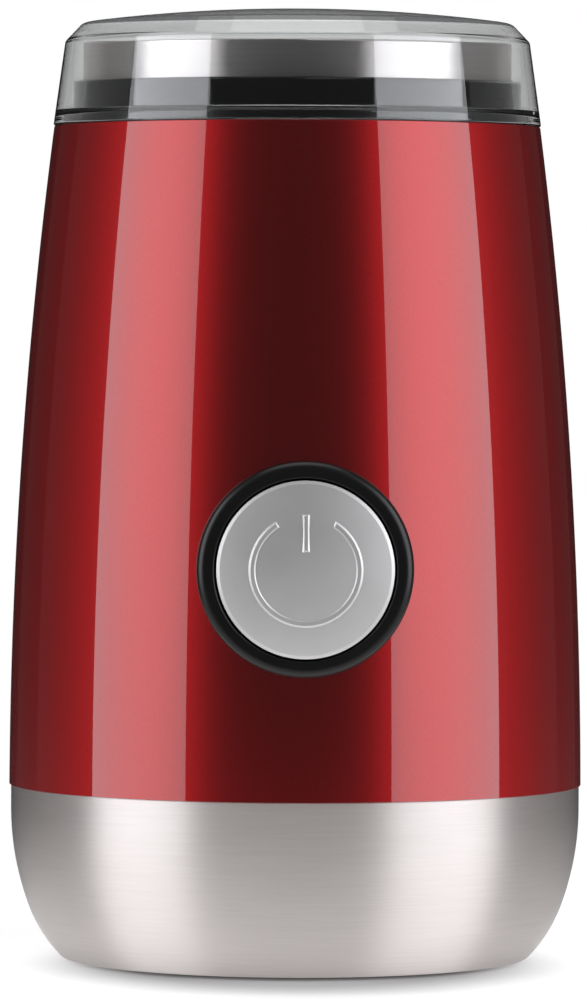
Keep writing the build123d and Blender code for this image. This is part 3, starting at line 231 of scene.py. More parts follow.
def hangCard(name, setup):
    first, last, level, throughLid = setup["cards"][name]
    count = math.ceil((last - first) / setup["step"])
    net = bmesh.new()
    ring = []
    for place in range(count + 1):
        turn = math.radians(first + (last - first) * place / count)
        x, y = setup["away"] * math.sin(turn), -setup["away"] * math.cos(turn)
        ring.append([net.verts.new((x, y, z)) for z in (setup["low"], setup["high"])])
    for one, two in zip(ring, ring[1:]):
        net.faces.new((one[0], two[0], two[1], one[1]))
    mesh = meshFrom(net, name)
    card = bpy.data.objects.new(name, mesh)
    scene.collection.objects.link(card)
    paint = bpy.data.materials.new(name)
    paint.use_nodes = True
    tree = paint.node_tree
    tree.nodes.clear()
    path = addNode(tree, "LightPath").outputs
    glow = addNode(tree, "Emission")
    share = spread(tree, path["Is Transmission Ray"], level, throughLid, 0, 1)
    tree.links.new(share, glow.inputs["Strength"])
    out = addNode(tree, "OutputMaterial")
    tree.links.new(glow.outputs[0], out.inputs["Surface"])
    mesh.materials.append(paint)
    card.visible_camera = False
    card.visible_diffuse = False
    card.visible_shadow = False


def layFloor(setup):
    net = bmesh.new()
    bmesh.ops.create_circle(net, cap_ends=True, segments=setup["sides"], radius=setup["radius"])
    mesh = meshFrom(net, "paleFloor")
    floor = bpy.data.objects.new("paleFloor", mesh)
    scene.collection.objects.link(floor)
    paint = bpy.data.materials.new("paleFloor")
    paint.use_nodes = True
    tree = paint.node_tree
    shader = tree.nodes["Principled BSDF"]
    shader.inputs["Base Color"].default_value = (*[setup["tone"]] * 3, 1)
    shader.inputs["Roughness"].default_value = setup["rough"]
    shader.inputs["Specular IOR Level"].default_value = 0
    path = addNode(tree, "LightPath").outputs
    spot = addNode(tree, "TexCoord").outputs["Object"]
    # what the camera sees: a painted oval shadow, less glow near the base, that fades out to white
    fit = addNode(tree, "Mapping", Scale=(setup["shadeNarrow"], 1, 1))
    away = addNode(tree, "VectorMath")
    away.operation = "DISTANCE"
    away.inputs[1].default_value = (0, -setup["shadeMiddle"], 0)
    tree.links.new(spot, fit.inputs["Vector"])
    tree.links.new(fit.outputs["Vector"], away.inputs[0])
    fade = addNode(
        tree, "MapRange", From_Min=setup["shadeRadius"], From_Max=setup["clearRadius"],
        To_Min=setup["shadeGlow"], To_Max=setup["clearGlow"],
    )
    fade.interpolation_type = "SMOOTHSTEP"
    tree.links.new(away.outputs["Value"], fade.inputs["Value"])
    level = mathsOf(tree, "MULTIPLY", path["Is Camera Ray"], fade.outputs[0])
    # what reflections see: a painted shadow near the base and a painted bright ring round it
    reach = addNode(tree, "VectorMath")
    reach.operation = "LENGTH"
    tree.links.new(spot, reach.inputs[0])
    share = spread(tree, reach.outputs["Value"], 0, 1, 0, setup["radius"])
    tones = addNode(tree, "ValToRGB")
    while len(tones.color_ramp.elements) < len(setup["mirrorGlow"]):
        tones.color_ramp.elements.new(1)
    for stop, (radius, glow) in zip(tones.color_ramp.elements, setup["mirrorGlow"]):
        stop.position = radius / setup["radius"]
        stop.color = (glow, glow, glow, 1)
    tree.links.new(share, tones.inputs["Fac"])
    glow = mathsOf(tree, "MULTIPLY_ADD", path["Is Glossy Ray"], tones.outputs["Color"], level)
    shader.inputs["Emission Color"].default_value = (1, 1, 1, 1)
    tree.links.new(glow, shader.inputs["Emission Strength"])
    mesh.materials.append(paint)


lightStudio(studioLight)
for cardName in wallSetup["cards"]:
    hangCard(cardName, wallSetup)
layFloor(floorSetup)
print("studio lit")

# finishes
finishBook = {}


def newFinish(name, **sockets):
    paint = bpy.data.materials.new(name)
    paint.use_nodes = True
    shader = paint.node_tree.nodes["Principled BSDF"]
    for socket, value in sockets.items():
        shader.inputs[socket.replace("_", " ")].default_value = value
    finishBook[name] = paint
    return paint.node_tree, shader


def grainOf(tree, scale, stretch=(1, 1, 1), detail=3.0, rough=0.55):
    spot = addNode(tree, "TexCoord")
    fit = addNode(tree, "Mapping", Scale=stretch)
    noise = addNode(tree, "TexNoise", Scale=scale, Detail=detail, Roughness=rough)
    tree.links.new(spot.outputs["Object"], fit.inputs["Vector"])
    tree.links.new(fit.outputs["Vector"], noise.inputs["Vector"])
    return noise.outputs["Fac"]


def twoTone(tree, value, first, second, lowAt=0.3, highAt=0.7):
    ramp = addNode(tree, "ValToRGB")
    ramp.color_ramp.elements[0].position = lowAt
    ramp.color_ramp.elements[1].position = highAt
    ramp.color_ramp.elements[0].color = (*first, 1)
    ramp.color_ramp.elements[1].color = (*second, 1)
    tree.links.new(value, ramp.inputs["Fac"])
    return ramp.outputs["Color"]


def raised(tree, shader, value, depth, strength):
    bump = addNode(tree, "Bump", Distance=depth, Strength=strength)
    tree.links.new(value, bump.inputs["Height"])
    tree.links.new(bump.outputs["Normal"], shader.inputs["Normal"])


# height above the table, and distance from the shaft
def heightOf(tree):
    spot = addNode(tree, "TexCoord")
    split = addNode(tree, "SeparateXYZ")
    tree.links.new(spot.outputs["Object"], split.inputs[0])
    return split.outputs["Z"]


def radiusOf(tree):
    spot = addNode(tree, "TexCoord")
    flat = addNode(tree, "Mapping", Scale=(1, 1, 0))
    away = addNode(tree, "VectorMath")
    away.operation = "LENGTH"
    tree.links.new(spot.outputs["Object"], flat.inputs["Vector"])
    tree.links.new(flat.outputs["Vector"], away.inputs[0])
    return away.outputs["Value"]


# red paint: metal flakes under a clear coat, which spread the light wider where it turns away
redSetup = {
    "metal": 0.97,
    "coatRough": 0.015,
    "coatBend": 1.5,
    "flakeScale": 5200,
    "flakeDark": (0.25, 0.005, 0.006),
    "flakePale": (0.31, 0.008, 0.010),
    "flakeDepth": 0.000002,
    "flakeStrength": 0.15,
    "cloudScale": 26,
    "cloudStretch": (1, 1, 0.4),
    "turnBlend": 0.9,
    "frontRough": 0.28,
    "edgeRough": (0.54, 0.56),
}


def redPaint(setup):
    tree, shader = newFinish(
        "redPaint", Metallic=setup["metal"], Coat_Weight=1.0, Coat_Roughness=setup["coatRough"],
        Coat_IOR=setup["coatBend"],
    )
    flake = grainOf(tree, setup["flakeScale"], detail=1.0)
    tone = twoTone(tree, flake, setup["flakeDark"], setup["flakePale"])
    tree.links.new(tone, shader.inputs["Base Color"])
    turn = addNode(tree, "LayerWeight", Blend=setup["turnBlend"])
    cloud = grainOf(tree, setup["cloudScale"], setup["cloudStretch"])
    wide = addNode(tree, "MapRange", To_Min=setup["frontRough"])
    tree.links.new(turn.outputs["Facing"], wide.inputs["Value"])
    tree.links.new(spread(tree, cloud, *setup["edgeRough"]), wide.inputs["To Max"])
    tree.links.new(wide.outputs[0], shader.inputs["Roughness"])
    raised(tree, shader, flake, setup["flakeDepth"], setup["flakeStrength"])


# steel brushed round the shaft
brushedSetup = {
    "baseSteel": {
        "pale": (0.66, 0.615, 0.60), "dark": (0.59, 0.55, 0.535), "rough": (0.48, 0.53),
        "streak": (70, 70, 3600), "cloud": 22, "smear": 0.95,
    },
    "bowlSteel": {
        "pale": (0.62, 0.585, 0.575), "dark": (0.53, 0.50, 0.49), "rough": (0.34, 0.40),
        "streak": (60, 60, 2600), "cloud": 40, "smear": 0.85,
    },
}
brushing = {
    "smearTurn": 0.25,
    "streakDetail": 6.0,
    "streakRough": 0.7,
    "streakDepth": 0.00002,
    "streakStrength": 0.12,
    "darkAt": 0.25,
    "paleAt": 0.75,
    "cloudStretch": (1, 1, 1.6),
}


def brushedRound(name, setup):
    tree, shader = newFinish(
        name, Metallic=1.0, Anisotropic=setup["smear"], Anisotropic_Rotation=brushing["smearTurn"]
    )
    streak = grainOf(tree, 1, setup["streak"], brushing["streakDetail"], brushing["streakRough"])
    tone = twoTone(tree, streak, setup["dark"], setup["pale"], brushing["darkAt"], brushing["paleAt"])
    tree.links.new(tone, shader.inputs["Base Color"])
    cloud = grainOf(tree, setup["cloud"], brushing["cloudStretch"])
    tree.links.new(spread(tree, cloud, *setup["rough"]), shader.inputs["Roughness"])
    lay = addNode(tree, "Tangent")
    lay.direction_type = "RADIAL"
    lay.axis = "Z"
    tree.links.new(lay.outputs[0], shader.inputs["Tangent"])
    raised(tree, shader, streak, brushing["streakDepth"], brushing["streakStrength"])


# plain metals: pale tone, dark tone, roughness from and to, grain's scale and depth
metalSetup = {
    "buttonSteel": ((0.64, 0.635, 0.63), (0.57, 0.565, 0.56), (0.52, 0.56), 1400, 0.000006),
    "bladeSteel": ((0.74, 0.74, 0.74), (0.64, 0.64, 0.65), (0.2, 0.32), 700, 0.000008),
    "screwSteel": ((0.64, 0.64, 0.66), (0.52, 0.52, 0.54), (0.22, 0.36), 500, 0.000008),
    "springSteel": ((0.66, 0.66, 0.68), (0.54, 0.54, 0.57), (0.16, 0.28), 500, 0.000004),
    "brass": ((0.76, 0.60, 0.30), (0.66, 0.50, 0.24), (0.2, 0.34), 600, 0.000006),
    "bronze": ((0.62, 0.45, 0.26), (0.50, 0.36, 0.20), (0.35, 0.5), 1200, 0.00001),
    "copperWire": ((0.66, 0.31, 0.15), (0.52, 0.23, 0.10), (0.25, 0.4), 800, 0.00002),
    "laminationSteel": ((0.34, 0.34, 0.35), (0.24, 0.24, 0.25), (0.4, 0.6), 900, 0.00002),
    "castBracket": ((0.66, 0.66, 0.67), (0.56, 0.56, 0.57), (0.45, 0.6), 700, 0.00003),
}

# plastics and rubber, in the same order
plasticSetup = {
    "bezelBlack": ((0.0025, 0.0025, 0.0025), (0.0015, 0.0015, 0.0015), (0.30, 0.36), 300, 0.000002),
    "blackMoulding": ((0.034, 0.034, 0.036), (0.024, 0.024, 0.026), (0.42, 0.58), 900, 0.00001),
    "blackRubber": ((0.034, 0.034, 0.034), (0.022, 0.022, 0.022), (0.7, 0.9), 600, 0.00003),
    "switchMoulding": ((0.06, 0.06, 0.065), (0.04, 0.04, 0.045), (0.4, 0.55), 900, 0.00001),
    "plungerMoulding": ((0.54, 0.055, 0.045), (0.44, 0.04, 0.035), (0.3, 0.45), 900, 0.00001),
    "rodMoulding": ((0.80, 0.78, 0.72), (0.72, 0.70, 0.63), (0.35, 0.5), 900, 0.00001),
    "carbon": ((0.045, 0.045, 0.05), (0.03, 0.03, 0.034), (0.5, 0.7), 900, 0.00001),
    "capacitorCase": ((0.74, 0.56, 0.14), (0.64, 0.46, 0.10), (0.35, 0.5), 900, 0.00001),
    "leadSleeve": ((0.38, 0.07, 0.055), (0.30, 0.05, 0.04), (0.4, 0.55), 900, 0.00001),
}
plasticGloss = {"bezelBlack": 0.38}   # the rest have the usual 0.5
grainSetup = {"strength": 0.4, "cloudScale": 40}


def grained(name, pale, dark, rough, scale, depth, **sockets):
    tree, shader = newFinish(name, **sockets)
    pimple = grainOf(tree, scale)
    cloud = grainOf(tree, grainSetup["cloudScale"])
    tree.links.new(twoTone(tree, cloud, dark, pale), shader.inputs["Base Color"])
    tree.links.new(spread(tree, cloud, *rough), shader.inputs["Roughness"])
    raised(tree, shader, pimple, depth, grainSetup["strength"])


# collar: gloss on the neck, satin on the flange below it
collarSetup = {
    "gloss": 0.34,
    "dark": (0.002, 0.002, 0.0025),
    "pale": (0.004, 0.004, 0.005),
    "cloudScale": 40,
    "flangeTop": 144.6 * mm,
    "neckFoot": 145.0 * mm,
    "flangeRough": 0.3,
    "neckRough": 0.06,
}


def collarBlack(setup):
    tree, shader = newFinish("collarBlack", Specular_IOR_Level=setup["gloss"])
    cloud = grainOf(tree, setup["cloudScale"])
    tree.links.new(twoTone(tree, cloud, setup["dark"], setup["pale"]), shader.inputs["Base Color"])
    step = spread(
        tree, heightOf(tree), setup["flangeRough"], setup["neckRough"],
        setup["flangeTop"], setup["neckFoot"],
    )
    tree.links.new(step, shader.inputs["Roughness"])


# clear lid, wiped here and there; a band along its upper edge lets less light through and shows
# paler, a painted highlight
clearSetup = {
    "tint": (0.97, 0.98, 0.98, 1),
    "bend": 1.49,
    "gloss": 0.5,
    "wipeScale": 60,
    "wipeStretch": (1, 1, 0.3),
    "wipeDetail": 5.0,
    "wipeRough": (0.0, 0.03),
    "hazeHeight": (158.6 * mm, 159.2 * mm),
    "hazeRadius": (33 * mm, 35.5 * mm),
    "hazeClear": 0.86,
}


def clearLid(setup):
    tree, shader = newFinish(
        "clearLid", Base_Color=setup["tint"], Transmission_Weight=1.0, IOR=setup["bend"],
        Specular_IOR_Level=setup["gloss"],
    )
    wipe = grainOf(tree, setup["wipeScale"], setup["wipeStretch"], setup["wipeDetail"])
    tree.links.new(spread(tree, wipe, *setup["wipeRough"]), shader.inputs["Roughness"])
    # painted highlight: along the upper edge the lid is less clear, so it looks paler there
    high = spread(tree, heightOf(tree), 0, 1, *setup["hazeHeight"])
    wide = spread(tree, radiusOf(tree), 0, 1, *setup["hazeRadius"])
    paintedBand = mathsOf(tree, "MULTIPLY", high, wide)
    clear = spread(tree, paintedBand, 1, setup["hazeClear"], 0, 1)
    tree.links.new(clear, shader.inputs["Transmission Weight"])


redPaint(redSetup)
for finish, setup in brushedSetup.items():
    brushedRound(finish, setup)
for finish, setup in metalSetup.items():
    grained(finish, *setup, Metallic=1.0)
for finish, setup in plasticSetup.items():
    grained(finish, *setup, Specular_IOR_Level=plasticGloss.get(finish, 0.5))
collarBlack(collarSetup)
clearLid(clearSetup)


def plainName(slotName):
    first, *rest = slotName.split("_")
    return first + "".join(word.capitalize() for word in rest)


ownFinish = {"button_bezel": "bezelBlack", "top_collar": "collarBlack"}
for node, piece in nodes.items():
    for place in piece.material_slots:
        finish = ownFinish.get(node) or plainName(place.material.name.split(".")[0])
        place.material = finishBook[finish]
print("finishes applied:", len(finishBook))

# turned shapes: a corner is (radius, height, round, bow of the side that follows)
# and the outside lies to the right of the way round
turning = {
    "turns": 240,
    "roundSteps": 7,
    "bowSteps": 40,
    "shortest": 1e-8,      # metres: shorter sides are dropped
    "onAxis": 1e-7,        # points nearer the shaft than this are on it
    "digits": 8,
}


def sidesOf(corners, closed):
    sides = []
    for place in range(len(corners) if closed else len(corners) - 1):
        start = Vector(corners[place][:2])
        end = Vector(corners[(place + 1) % len(corners)][:2])
        along = (end - start).normalized()
        bow = corners[place][3]
        lean = 2 * math.atan2(2 * bow, (end - start).length)
        sides.append({
            "start": start, "end": end, "along": along, "bow": bow, "lean": lean,
            "out": Vector((along.y, -along.x)), "cut": [0, 0],
        })
    return sides


def turnedAway(direction, angle):
    return Matrix.Rotation(angle, 2) @ direction


def knotsOfSide(side):
    along, out = side["along"], side["out"]
    if not side["bow"]:
        return [
            (side["start"] + along * side["cut"][0], out),
            (side["end"] - along * side["cut"][1], out),
        ]
    reach = (side["end"] - side["start"]).length / 2
    radius = (reach ** 2 + side["bow"] ** 2) / (2 * side["bow"])
    centre = (side["start"] + side["end"]) / 2 - out * (radius - side["bow"])
    first = -side["lean"] + side["cut"][0] / radius
    last = side["lean"] - side["cut"][1] / radius
    knots = []
    for step in range(turning["bowSteps"] + 1):
        angle = first + (last - first) * step / turning["bowSteps"]
        facing = out * math.cos(angle) + along * math.sin(angle)
        knots.append((centre + facing * radius, facing))
    return knots


def knotsOf(corners, closed):
    sides = sidesOf(corners, closed)
    bends = []
    for place, side in enumerate(sides):
        if not closed and place == len(sides) - 1:
            break
        after = sides[(place + 1) % len(sides)]
        softness = corners[(place + 1) % len(corners)][2]
        arriving = turnedAway(side["out"], side["lean"])
        leaving = turnedAway(after["out"], -after["lean"])
        turn = -arriving.angle_signed(leaving)
        side["cut"][1] = after["cut"][0] = softness * abs(math.tan(turn / 2))
        bends.append((softness, arriving, turn))
    knots = []
    for place, side in enumerate(sides):
        knots += knotsOfSide(side)
        if place < len(bends) and bends[place][0]:
            softness, arriving, turn = bends[place]
            hand = softness if turn > 0 else -softness
            centre = knots[-1][0] - arriving * hand
            for step in range(1, turning["roundSteps"]):
                facing = turnedAway(arriving, turn * step / turning["roundSteps"])
                knots.append((centre + facing * hand, facing))
    return knots


def spansOf(knots, closed):
    pairs = list(zip(knots, knots[1:]))
    if closed:
        pairs.append((knots[-1], knots[0]))
    return [(start, end) for start, end in pairs if (start[0] - end[0]).length > turning["shortest"]]


def turnedMesh(name, spans):
    net = bmesh.new()
    rings = {}
    turns = turning["turns"]

    def ringAt(point):
        key = (round(point.x, turning["digits"]), round(point.y, turning["digits"]))
        if key not in rings:
            if point.x < turning["onAxis"]:
                rings[key] = [net.verts.new((0, 0, point.y))] * turns
            else:
                angles = [2 * math.pi / turns * i for i in range(turns)]
                rings[key] = [
                    net.verts.new((point.x * math.cos(turn), point.x * math.sin(turn), point.y))
                    for turn in angles
                ]
        return rings[key]

    for start, end in spans:
        low, high = ringAt(start[0]), ringAt(end[0])
        for i in range(turns):
            after = (i + 1) % turns
            loop = [low[i], low[after], high[after], high[i]]
            net.faces.new(list(dict.fromkeys(loop)))   # a point on the shaft counts once
    return meshFrom(net, name)


# true normals from the turned path, flat ones where the mesh was cut or joined
polishing = {
    "reach": 2e-5,         # metres from the path
    "agreement": 0.5,      # least cosine between the face and the path's normal
    "tiny": 1e-9,
}


def polish(mesh, spans):
    corner = np.empty(len(mesh.loops), dtype=np.int32)
    mesh.loops.foreach_get("vertex_index", corner)
    spots = np.empty(len(mesh.vertices) * 3, dtype=np.float32)
    mesh.vertices.foreach_get("co", spots)
    spots = spots.reshape(-1, 3)[corner].astype(float)
    sizes = np.empty(len(mesh.polygons), dtype=np.int32)
    mesh.polygons.foreach_get("loop_total", sizes)
    facing = np.empty(len(mesh.polygons) * 3, dtype=np.float32)
    mesh.polygons.foreach_get("normal", facing)
    facing = np.repeat(facing.reshape(-1, 3), sizes, axis=0).astype(float)
    radius = np.hypot(spots[:, 0], spots[:, 1])
    outward = spots[:, :2] / np.maximum(radius, polishing["tiny"])[:, None]
    flat = np.stack([(facing[:, :2] * outward).sum(1), facing[:, 2]], axis=1)
    flat[radius < turning["onAxis"], 0] = 0
    best = np.full(len(corner), polishing["agreement"])
    chosen = flat.copy()
    matched = np.zeros(len(corner), dtype=bool)
    for start, end in spans:
        first, last = np.array(start[0]), np.array(end[0])
        reach = last - first
        along = (radius - first[0]) * reach[0] + (spots[:, 2] - first[1]) * reach[1]
        along = np.clip(along / (reach @ reach), 0, 1)[:, None]
        nearest = first + along * reach
        miss = np.hypot(radius - nearest[:, 0], spots[:, 2] - nearest[:, 1])
        lean = np.array(start[1]) * (1 - along) + np.array(end[1]) * along
        lean /= np.linalg.norm(lean, axis=1)[:, None]
        score = np.where(miss < polishing["reach"], (lean * flat).sum(1), -1)
        better = score > best
        best[better] = score[better]
        chosen[better] = lean[better]
        matched |= better
    smooth = np.concatenate([outward * chosen[:, :1], chosen[:, 1:]], axis=1)
    normals = np.where(matched[:, None], smooth, facing)
    mesh.shade_smooth()
    mesh.normals_split_custom_set([tuple(normal) for normal in normals])


def pieceOf(name, mesh, finish, body, slotName, *replaced):
    piece = bpy.data.objects.new(name, mesh)
    scene.collection.objects.link(piece)
    mesh.materials.clear()
    mesh.materials.append(finishBook[finish])
    if body:               # a piece that bends between two bodies rides on neither
        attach(piece, body)
    if replaced:
        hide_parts(*replaced)
    return piece


def combined(mesh, other, operation):
    first = bpy.data.objects.new("first", mesh)
    second = bpy.data.objects.new("second", other)
    scene.collection.objects.link(first)
    scene.collection.objects.link(second)
    change = first.modifiers.new("change", "BOOLEAN")
    change.operation = operation
    change.solver = "EXACT"
    change.object = second
    graph = bpy.context.evaluated_depsgraph_get()
    result = bpy.data.meshes.new_from_object(first.evaluated_get(graph))
    for extra in (first, second):
        bpy.data.objects.remove(extra)
    return result


def boxMesh(name, low, high, turn):
    net = bmesh.new()
    bmesh.ops.create_cube(net, size=1)
    for vert in net.verts:
        vert.co = [(a + b) / 2 + (b - a) * c for a, b, c in zip(low, high, vert.co)]
    bmesh.ops.rotate(net, verts=net.verts, cent=(0, 0, 0), matrix=Matrix.Rotation(turn, 3, "Z"))
    return meshFrom(net, name)


# red shell, with the round hole behind the button's bezel
shellSetup = {
    "topRadius": 41.6 * mm,
    "bow": 1.72 * mm,
    "sheet": 0.8 * mm,
    "lipRadius": 40.3 * mm,
    "edge": 0.15 * mm,
    "hole": 16.6 * mm,
}


def roundPlug(radius, bearing, away, height, depth):
    net = bmesh.new()
    lie = Matrix.Rotation(math.radians(bearing), 4, "Z") @ Matrix.Translation((0, -away, height))
    bmesh.ops.create_cone(
        net, cap_ends=True, segments=turning["turns"], radius1=radius, radius2=radius, depth=depth,
        matrix=lie @ Matrix.Rotation(math.pi / 2, 4, "X"),
    )
    return meshFrom(net, "plug")


def makeShell(setup):
    low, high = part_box("body_shell")
    foot, top, sheet = high[0], setup["topRadius"], setup["sheet"]
    spans = spansOf(knotsOf([
        (foot, low[2], 0, setup["bow"]),
        (top, high[2], setup["edge"], 0),
        (setup["lipRadius"], high[2], 0, 0),
        (setup["lipRadius"], high[2] - sheet, 0, 0),
        (top - sheet, high[2] - sheet, 0, -setup["bow"]),
        (foot - sheet, low[2], 0, 0),
    ], True), True)
    ringLow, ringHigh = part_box("button_bezel")
    plug = roundPlug(setup["hole"], 0, foot, (ringLow[2] + ringHigh[2]) / 2, foot)
    mesh = combined(turnedMesh("redShell", spans), plug, "DIFFERENCE")
    mesh.name = "redShell"
    polish(mesh, spans)
    pieceOf("redShell", mesh, "redPaint", "body", "red_paint", "body_shell")


makeShell(shellSetup)
print("shell made")

# steel base: bowed cup with a hem under its foot, and the cord gland's hole behind
cupSetup = {
    "arcRadius": 48.5 * mm,
    "roundRadius": 25.0 * mm,
    "roundTurn": 20,       # degrees below level where the curve tightens
    "footEdge": 1.5 * mm,
    "straight": 4.0 * mm,
    "sheet": 0.8 * mm,
    "hemWidth": 2.98 * mm,
    "hemHeight": 1.0 * mm,
    "lipRadius": 34.0 * mm,
    "topEdge": 0.2 * mm,
    "hole": 5.05 * mm,
}


def bowOf(start, end, radius):
    reach = math.dist(start, end) / 2
    return radius - math.sqrt(radius ** 2 - reach ** 2)


def makeCup(setup):
    low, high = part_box("base_cup")
    glandLow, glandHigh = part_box("cord_gland")
    rim, sheet, foot = high[0], setup["sheet"], low[2]
    arc, bend = setup["arcRadius"], setup["roundRadius"]
    arcTop = high[2] - setup["straight"]
    arcMiddle = Vector((rim - arc, arcTop))
    turn = math.radians(setup["roundTurn"])
    toBend = Vector((math.cos(turn), -math.sin(turn)))
    bendMiddle = arcMiddle + toBend * (arc - bend)

    def bendAt(radius, level):
        return Vector((bendMiddle.x + math.sqrt(radius ** 2 - (bendMiddle.y - level) ** 2), level))

    outerFoot, innerFoot = bendAt(bend, foot), bendAt(bend - sheet, foot + sheet)
    outerJoin, innerJoin = arcMiddle + toBend * arc, arcMiddle + toBend * (arc - sheet)
    hem = outerFoot.x - setup["hemWidth"]
    hemTop = foot + setup["hemHeight"]
    spans = spansOf(knotsOf([
        (setup["lipRadius"], hemTop, 0, 0),
        (hem, hemTop, 0, 0),
        (hem, foot, 0, 0),
        (*outerFoot, setup["footEdge"], bowOf(outerFoot, outerJoin, bend)),
        (*outerJoin, 0, bowOf(outerJoin, (rim, arcTop), arc)),
        (rim, arcTop, 0, 0),
        (rim, high[2], setup["topEdge"], 0),
        (rim - sheet, high[2], 0, 0),
        (rim - sheet, arcTop, 0, -bowOf(innerJoin, (rim - sheet, arcTop), arc - sheet)),
        (*innerJoin, 0, -bowOf(innerFoot, innerJoin, bend - sheet)),
        (*innerFoot, 0, 0),
        (hem + sheet, foot + sheet, 0, 0),
        (hem + sheet, hemTop + sheet, 0, 0),
        (setup["lipRadius"], hemTop + sheet, 0, 0),
    ], True), True)
    plug = roundPlug(setup["hole"], 180, rim, (glandLow[2] + glandHigh[2]) / 2, rim / 2)
    mesh = combined(turnedMesh("steelBase", spans), plug, "DIFFERENCE")
    mesh.name = "steelBase"
    polish(mesh, spans)
    pieceOf("steelBase", mesh, "baseSteel", "body", "base_steel", "base_cup")


makeCup(cupSetup)
print("base made")

# clear lid, with its shoulder, skirt, step on the collar and interlock tab
lidSetup = {
    "skirtRadius": 41.75 * mm,
    "skirtFoot": 142.75 * mm,
    "skirtWall": 1.4 * mm,
    "seat": 144.8 * mm,
    "stepRadius": 38.8 * mm,
    "shoulderRadius": 39.75 * mm,
    "shoulder": 157.1 * mm,
    "topRadius": 36.85 * mm,
    "top": 162.6 * mm,
    "crown": 2.45 * mm,
    "roof": 1.4 * mm,
    "innerTopRadius": 36.1 * mm,
    "innerShoulderRadius": 38.05 * mm,
    "innerShoulder": 156.7 * mm,
    "topRound": 1.6 * mm,
    "shoulderRound": 1.0 * mm,
    "innerRound": 0.8 * mm,
    "seatRound": 1.0 * mm,
    "edgeRound": 0.3 * mm,
    "tabInner": 38.85 * mm,
    "tabThick": 1.2 * mm,
    "tabWidth": 6.0 * mm,
    "tabFoot": 136.0 * mm,
    "tabTurn": -15,        # degrees from the right
}


# a dome is drawn from its middle to its rim, and that half bows by a quarter of the dome's rise
def halfBow(rise):
    return rise / 4


def makeLid(setup):
    roof, crown, edge = setup["roof"], setup["crown"], setup["edgeRound"]
    bore, thick = setup["skirtRadius"] - setup["skirtWall"], setup["tabThick"]
    spans = spansOf(knotsOf([
        (0, setup["top"] - roof, 0, -halfBow(crown)),
        (setup["innerTopRadius"], setup["top"] - crown - roof, setup["innerRound"], 0),
        (setup["innerShoulderRadius"], setup["innerShoulder"], setup["innerRound"], 0),
        (setup["stepRadius"], setup["seat"], edge, 0),
        (bore, setup["seat"], setup["seatRound"], 0),
        (bore, setup["skirtFoot"], edge, 0),
        (setup["skirtRadius"], setup["skirtFoot"], edge, 0),
        (setup["shoulderRadius"], setup["shoulder"], setup["shoulderRound"], 0),
        (setup["topRadius"], setup["top"] - crown, setup["topRound"], halfBow(crown)),
        (0, setup["top"], 0, 0),
    ], False), False)
    tab = boxMesh(
        "tab",
        (setup["tabInner"], -setup["tabWidth"] / 2, setup["tabFoot"]),
        (setup["tabInner"] + thick, setup["tabWidth"] / 2, setup["seat"] + thick),
        math.radians(setup["tabTurn"]),
    )
    mesh = combined(turnedMesh("clearLid", spans), tab, "UNION")
    mesh.name = "clearLid"
    polish(mesh, spans)
    pieceOf("clearLid", mesh, "clearLid", "lid", "clear_lid", "lid")


makeLid(lidSetup)
print("lid made")

# button face: a low dome with a bevelled edge, and a raised standby sign
faceSetup = {
    "dome": 1.7 * mm,
    "bevel": 0.55 * mm,
    "bevelDrop": 0.3 * mm,
    "bevelRound": 0.15 * mm,
    "backEdge": 0.1 * mm,
    "signRadius": 8.79 * mm,
    "signFoot": 0.64 * mm,  # half width at the face, then at the top
    "signTop": 0.30 * mm,
    "signHeight": 0.2 * mm,
    "signSink": 0.2 * mm,
    "gapTurn": 62,          # degrees left open
    "barLow": 2.9 * mm,
    "barHigh": 9.2 * mm,
    "signSteps": 96,
}


def ridge(net, route, setup, heightAt):
    rows = []
    last = len(route) - 1
    for place, point in enumerate(route):
        before, after = route[max(place - 1, 0)], route[min(place + 1, last)]
        along = (after - before).normalized()
        aside = Vector((along.y, -along.x))
        level = heightAt(point.length)
        row = []
        for offset, rise in (
            (-setup["signFoot"], -setup["signSink"]),
            (-setup["signFoot"], 0),
            (-setup["signTop"], setup["signHeight"]),
            (setup["signTop"], setup["signHeight"]),
            (setup["signFoot"], 0),
            (setup["signFoot"], -setup["signSink"]),
        ):
            spot = point + aside * offset
            if place in (0, last) and rise == setup["signHeight"]:   # the ends slope too
                spot += along * (setup["signFoot"] - setup["signTop"]) * (1 if place == 0 else -1)
            row.append(net.verts.new((spot.x, spot.y, level + rise)))
        rows.append(row)
    for first, second in zip(rows, rows[1:]):
        for i in range(len(first)):
            j = (i + 1) % len(first)
            net.faces.new((first[i], second[i], second[j], first[j]))
    net.faces.new(rows[0])
    net.faces.new(list(reversed(rows[-1])))


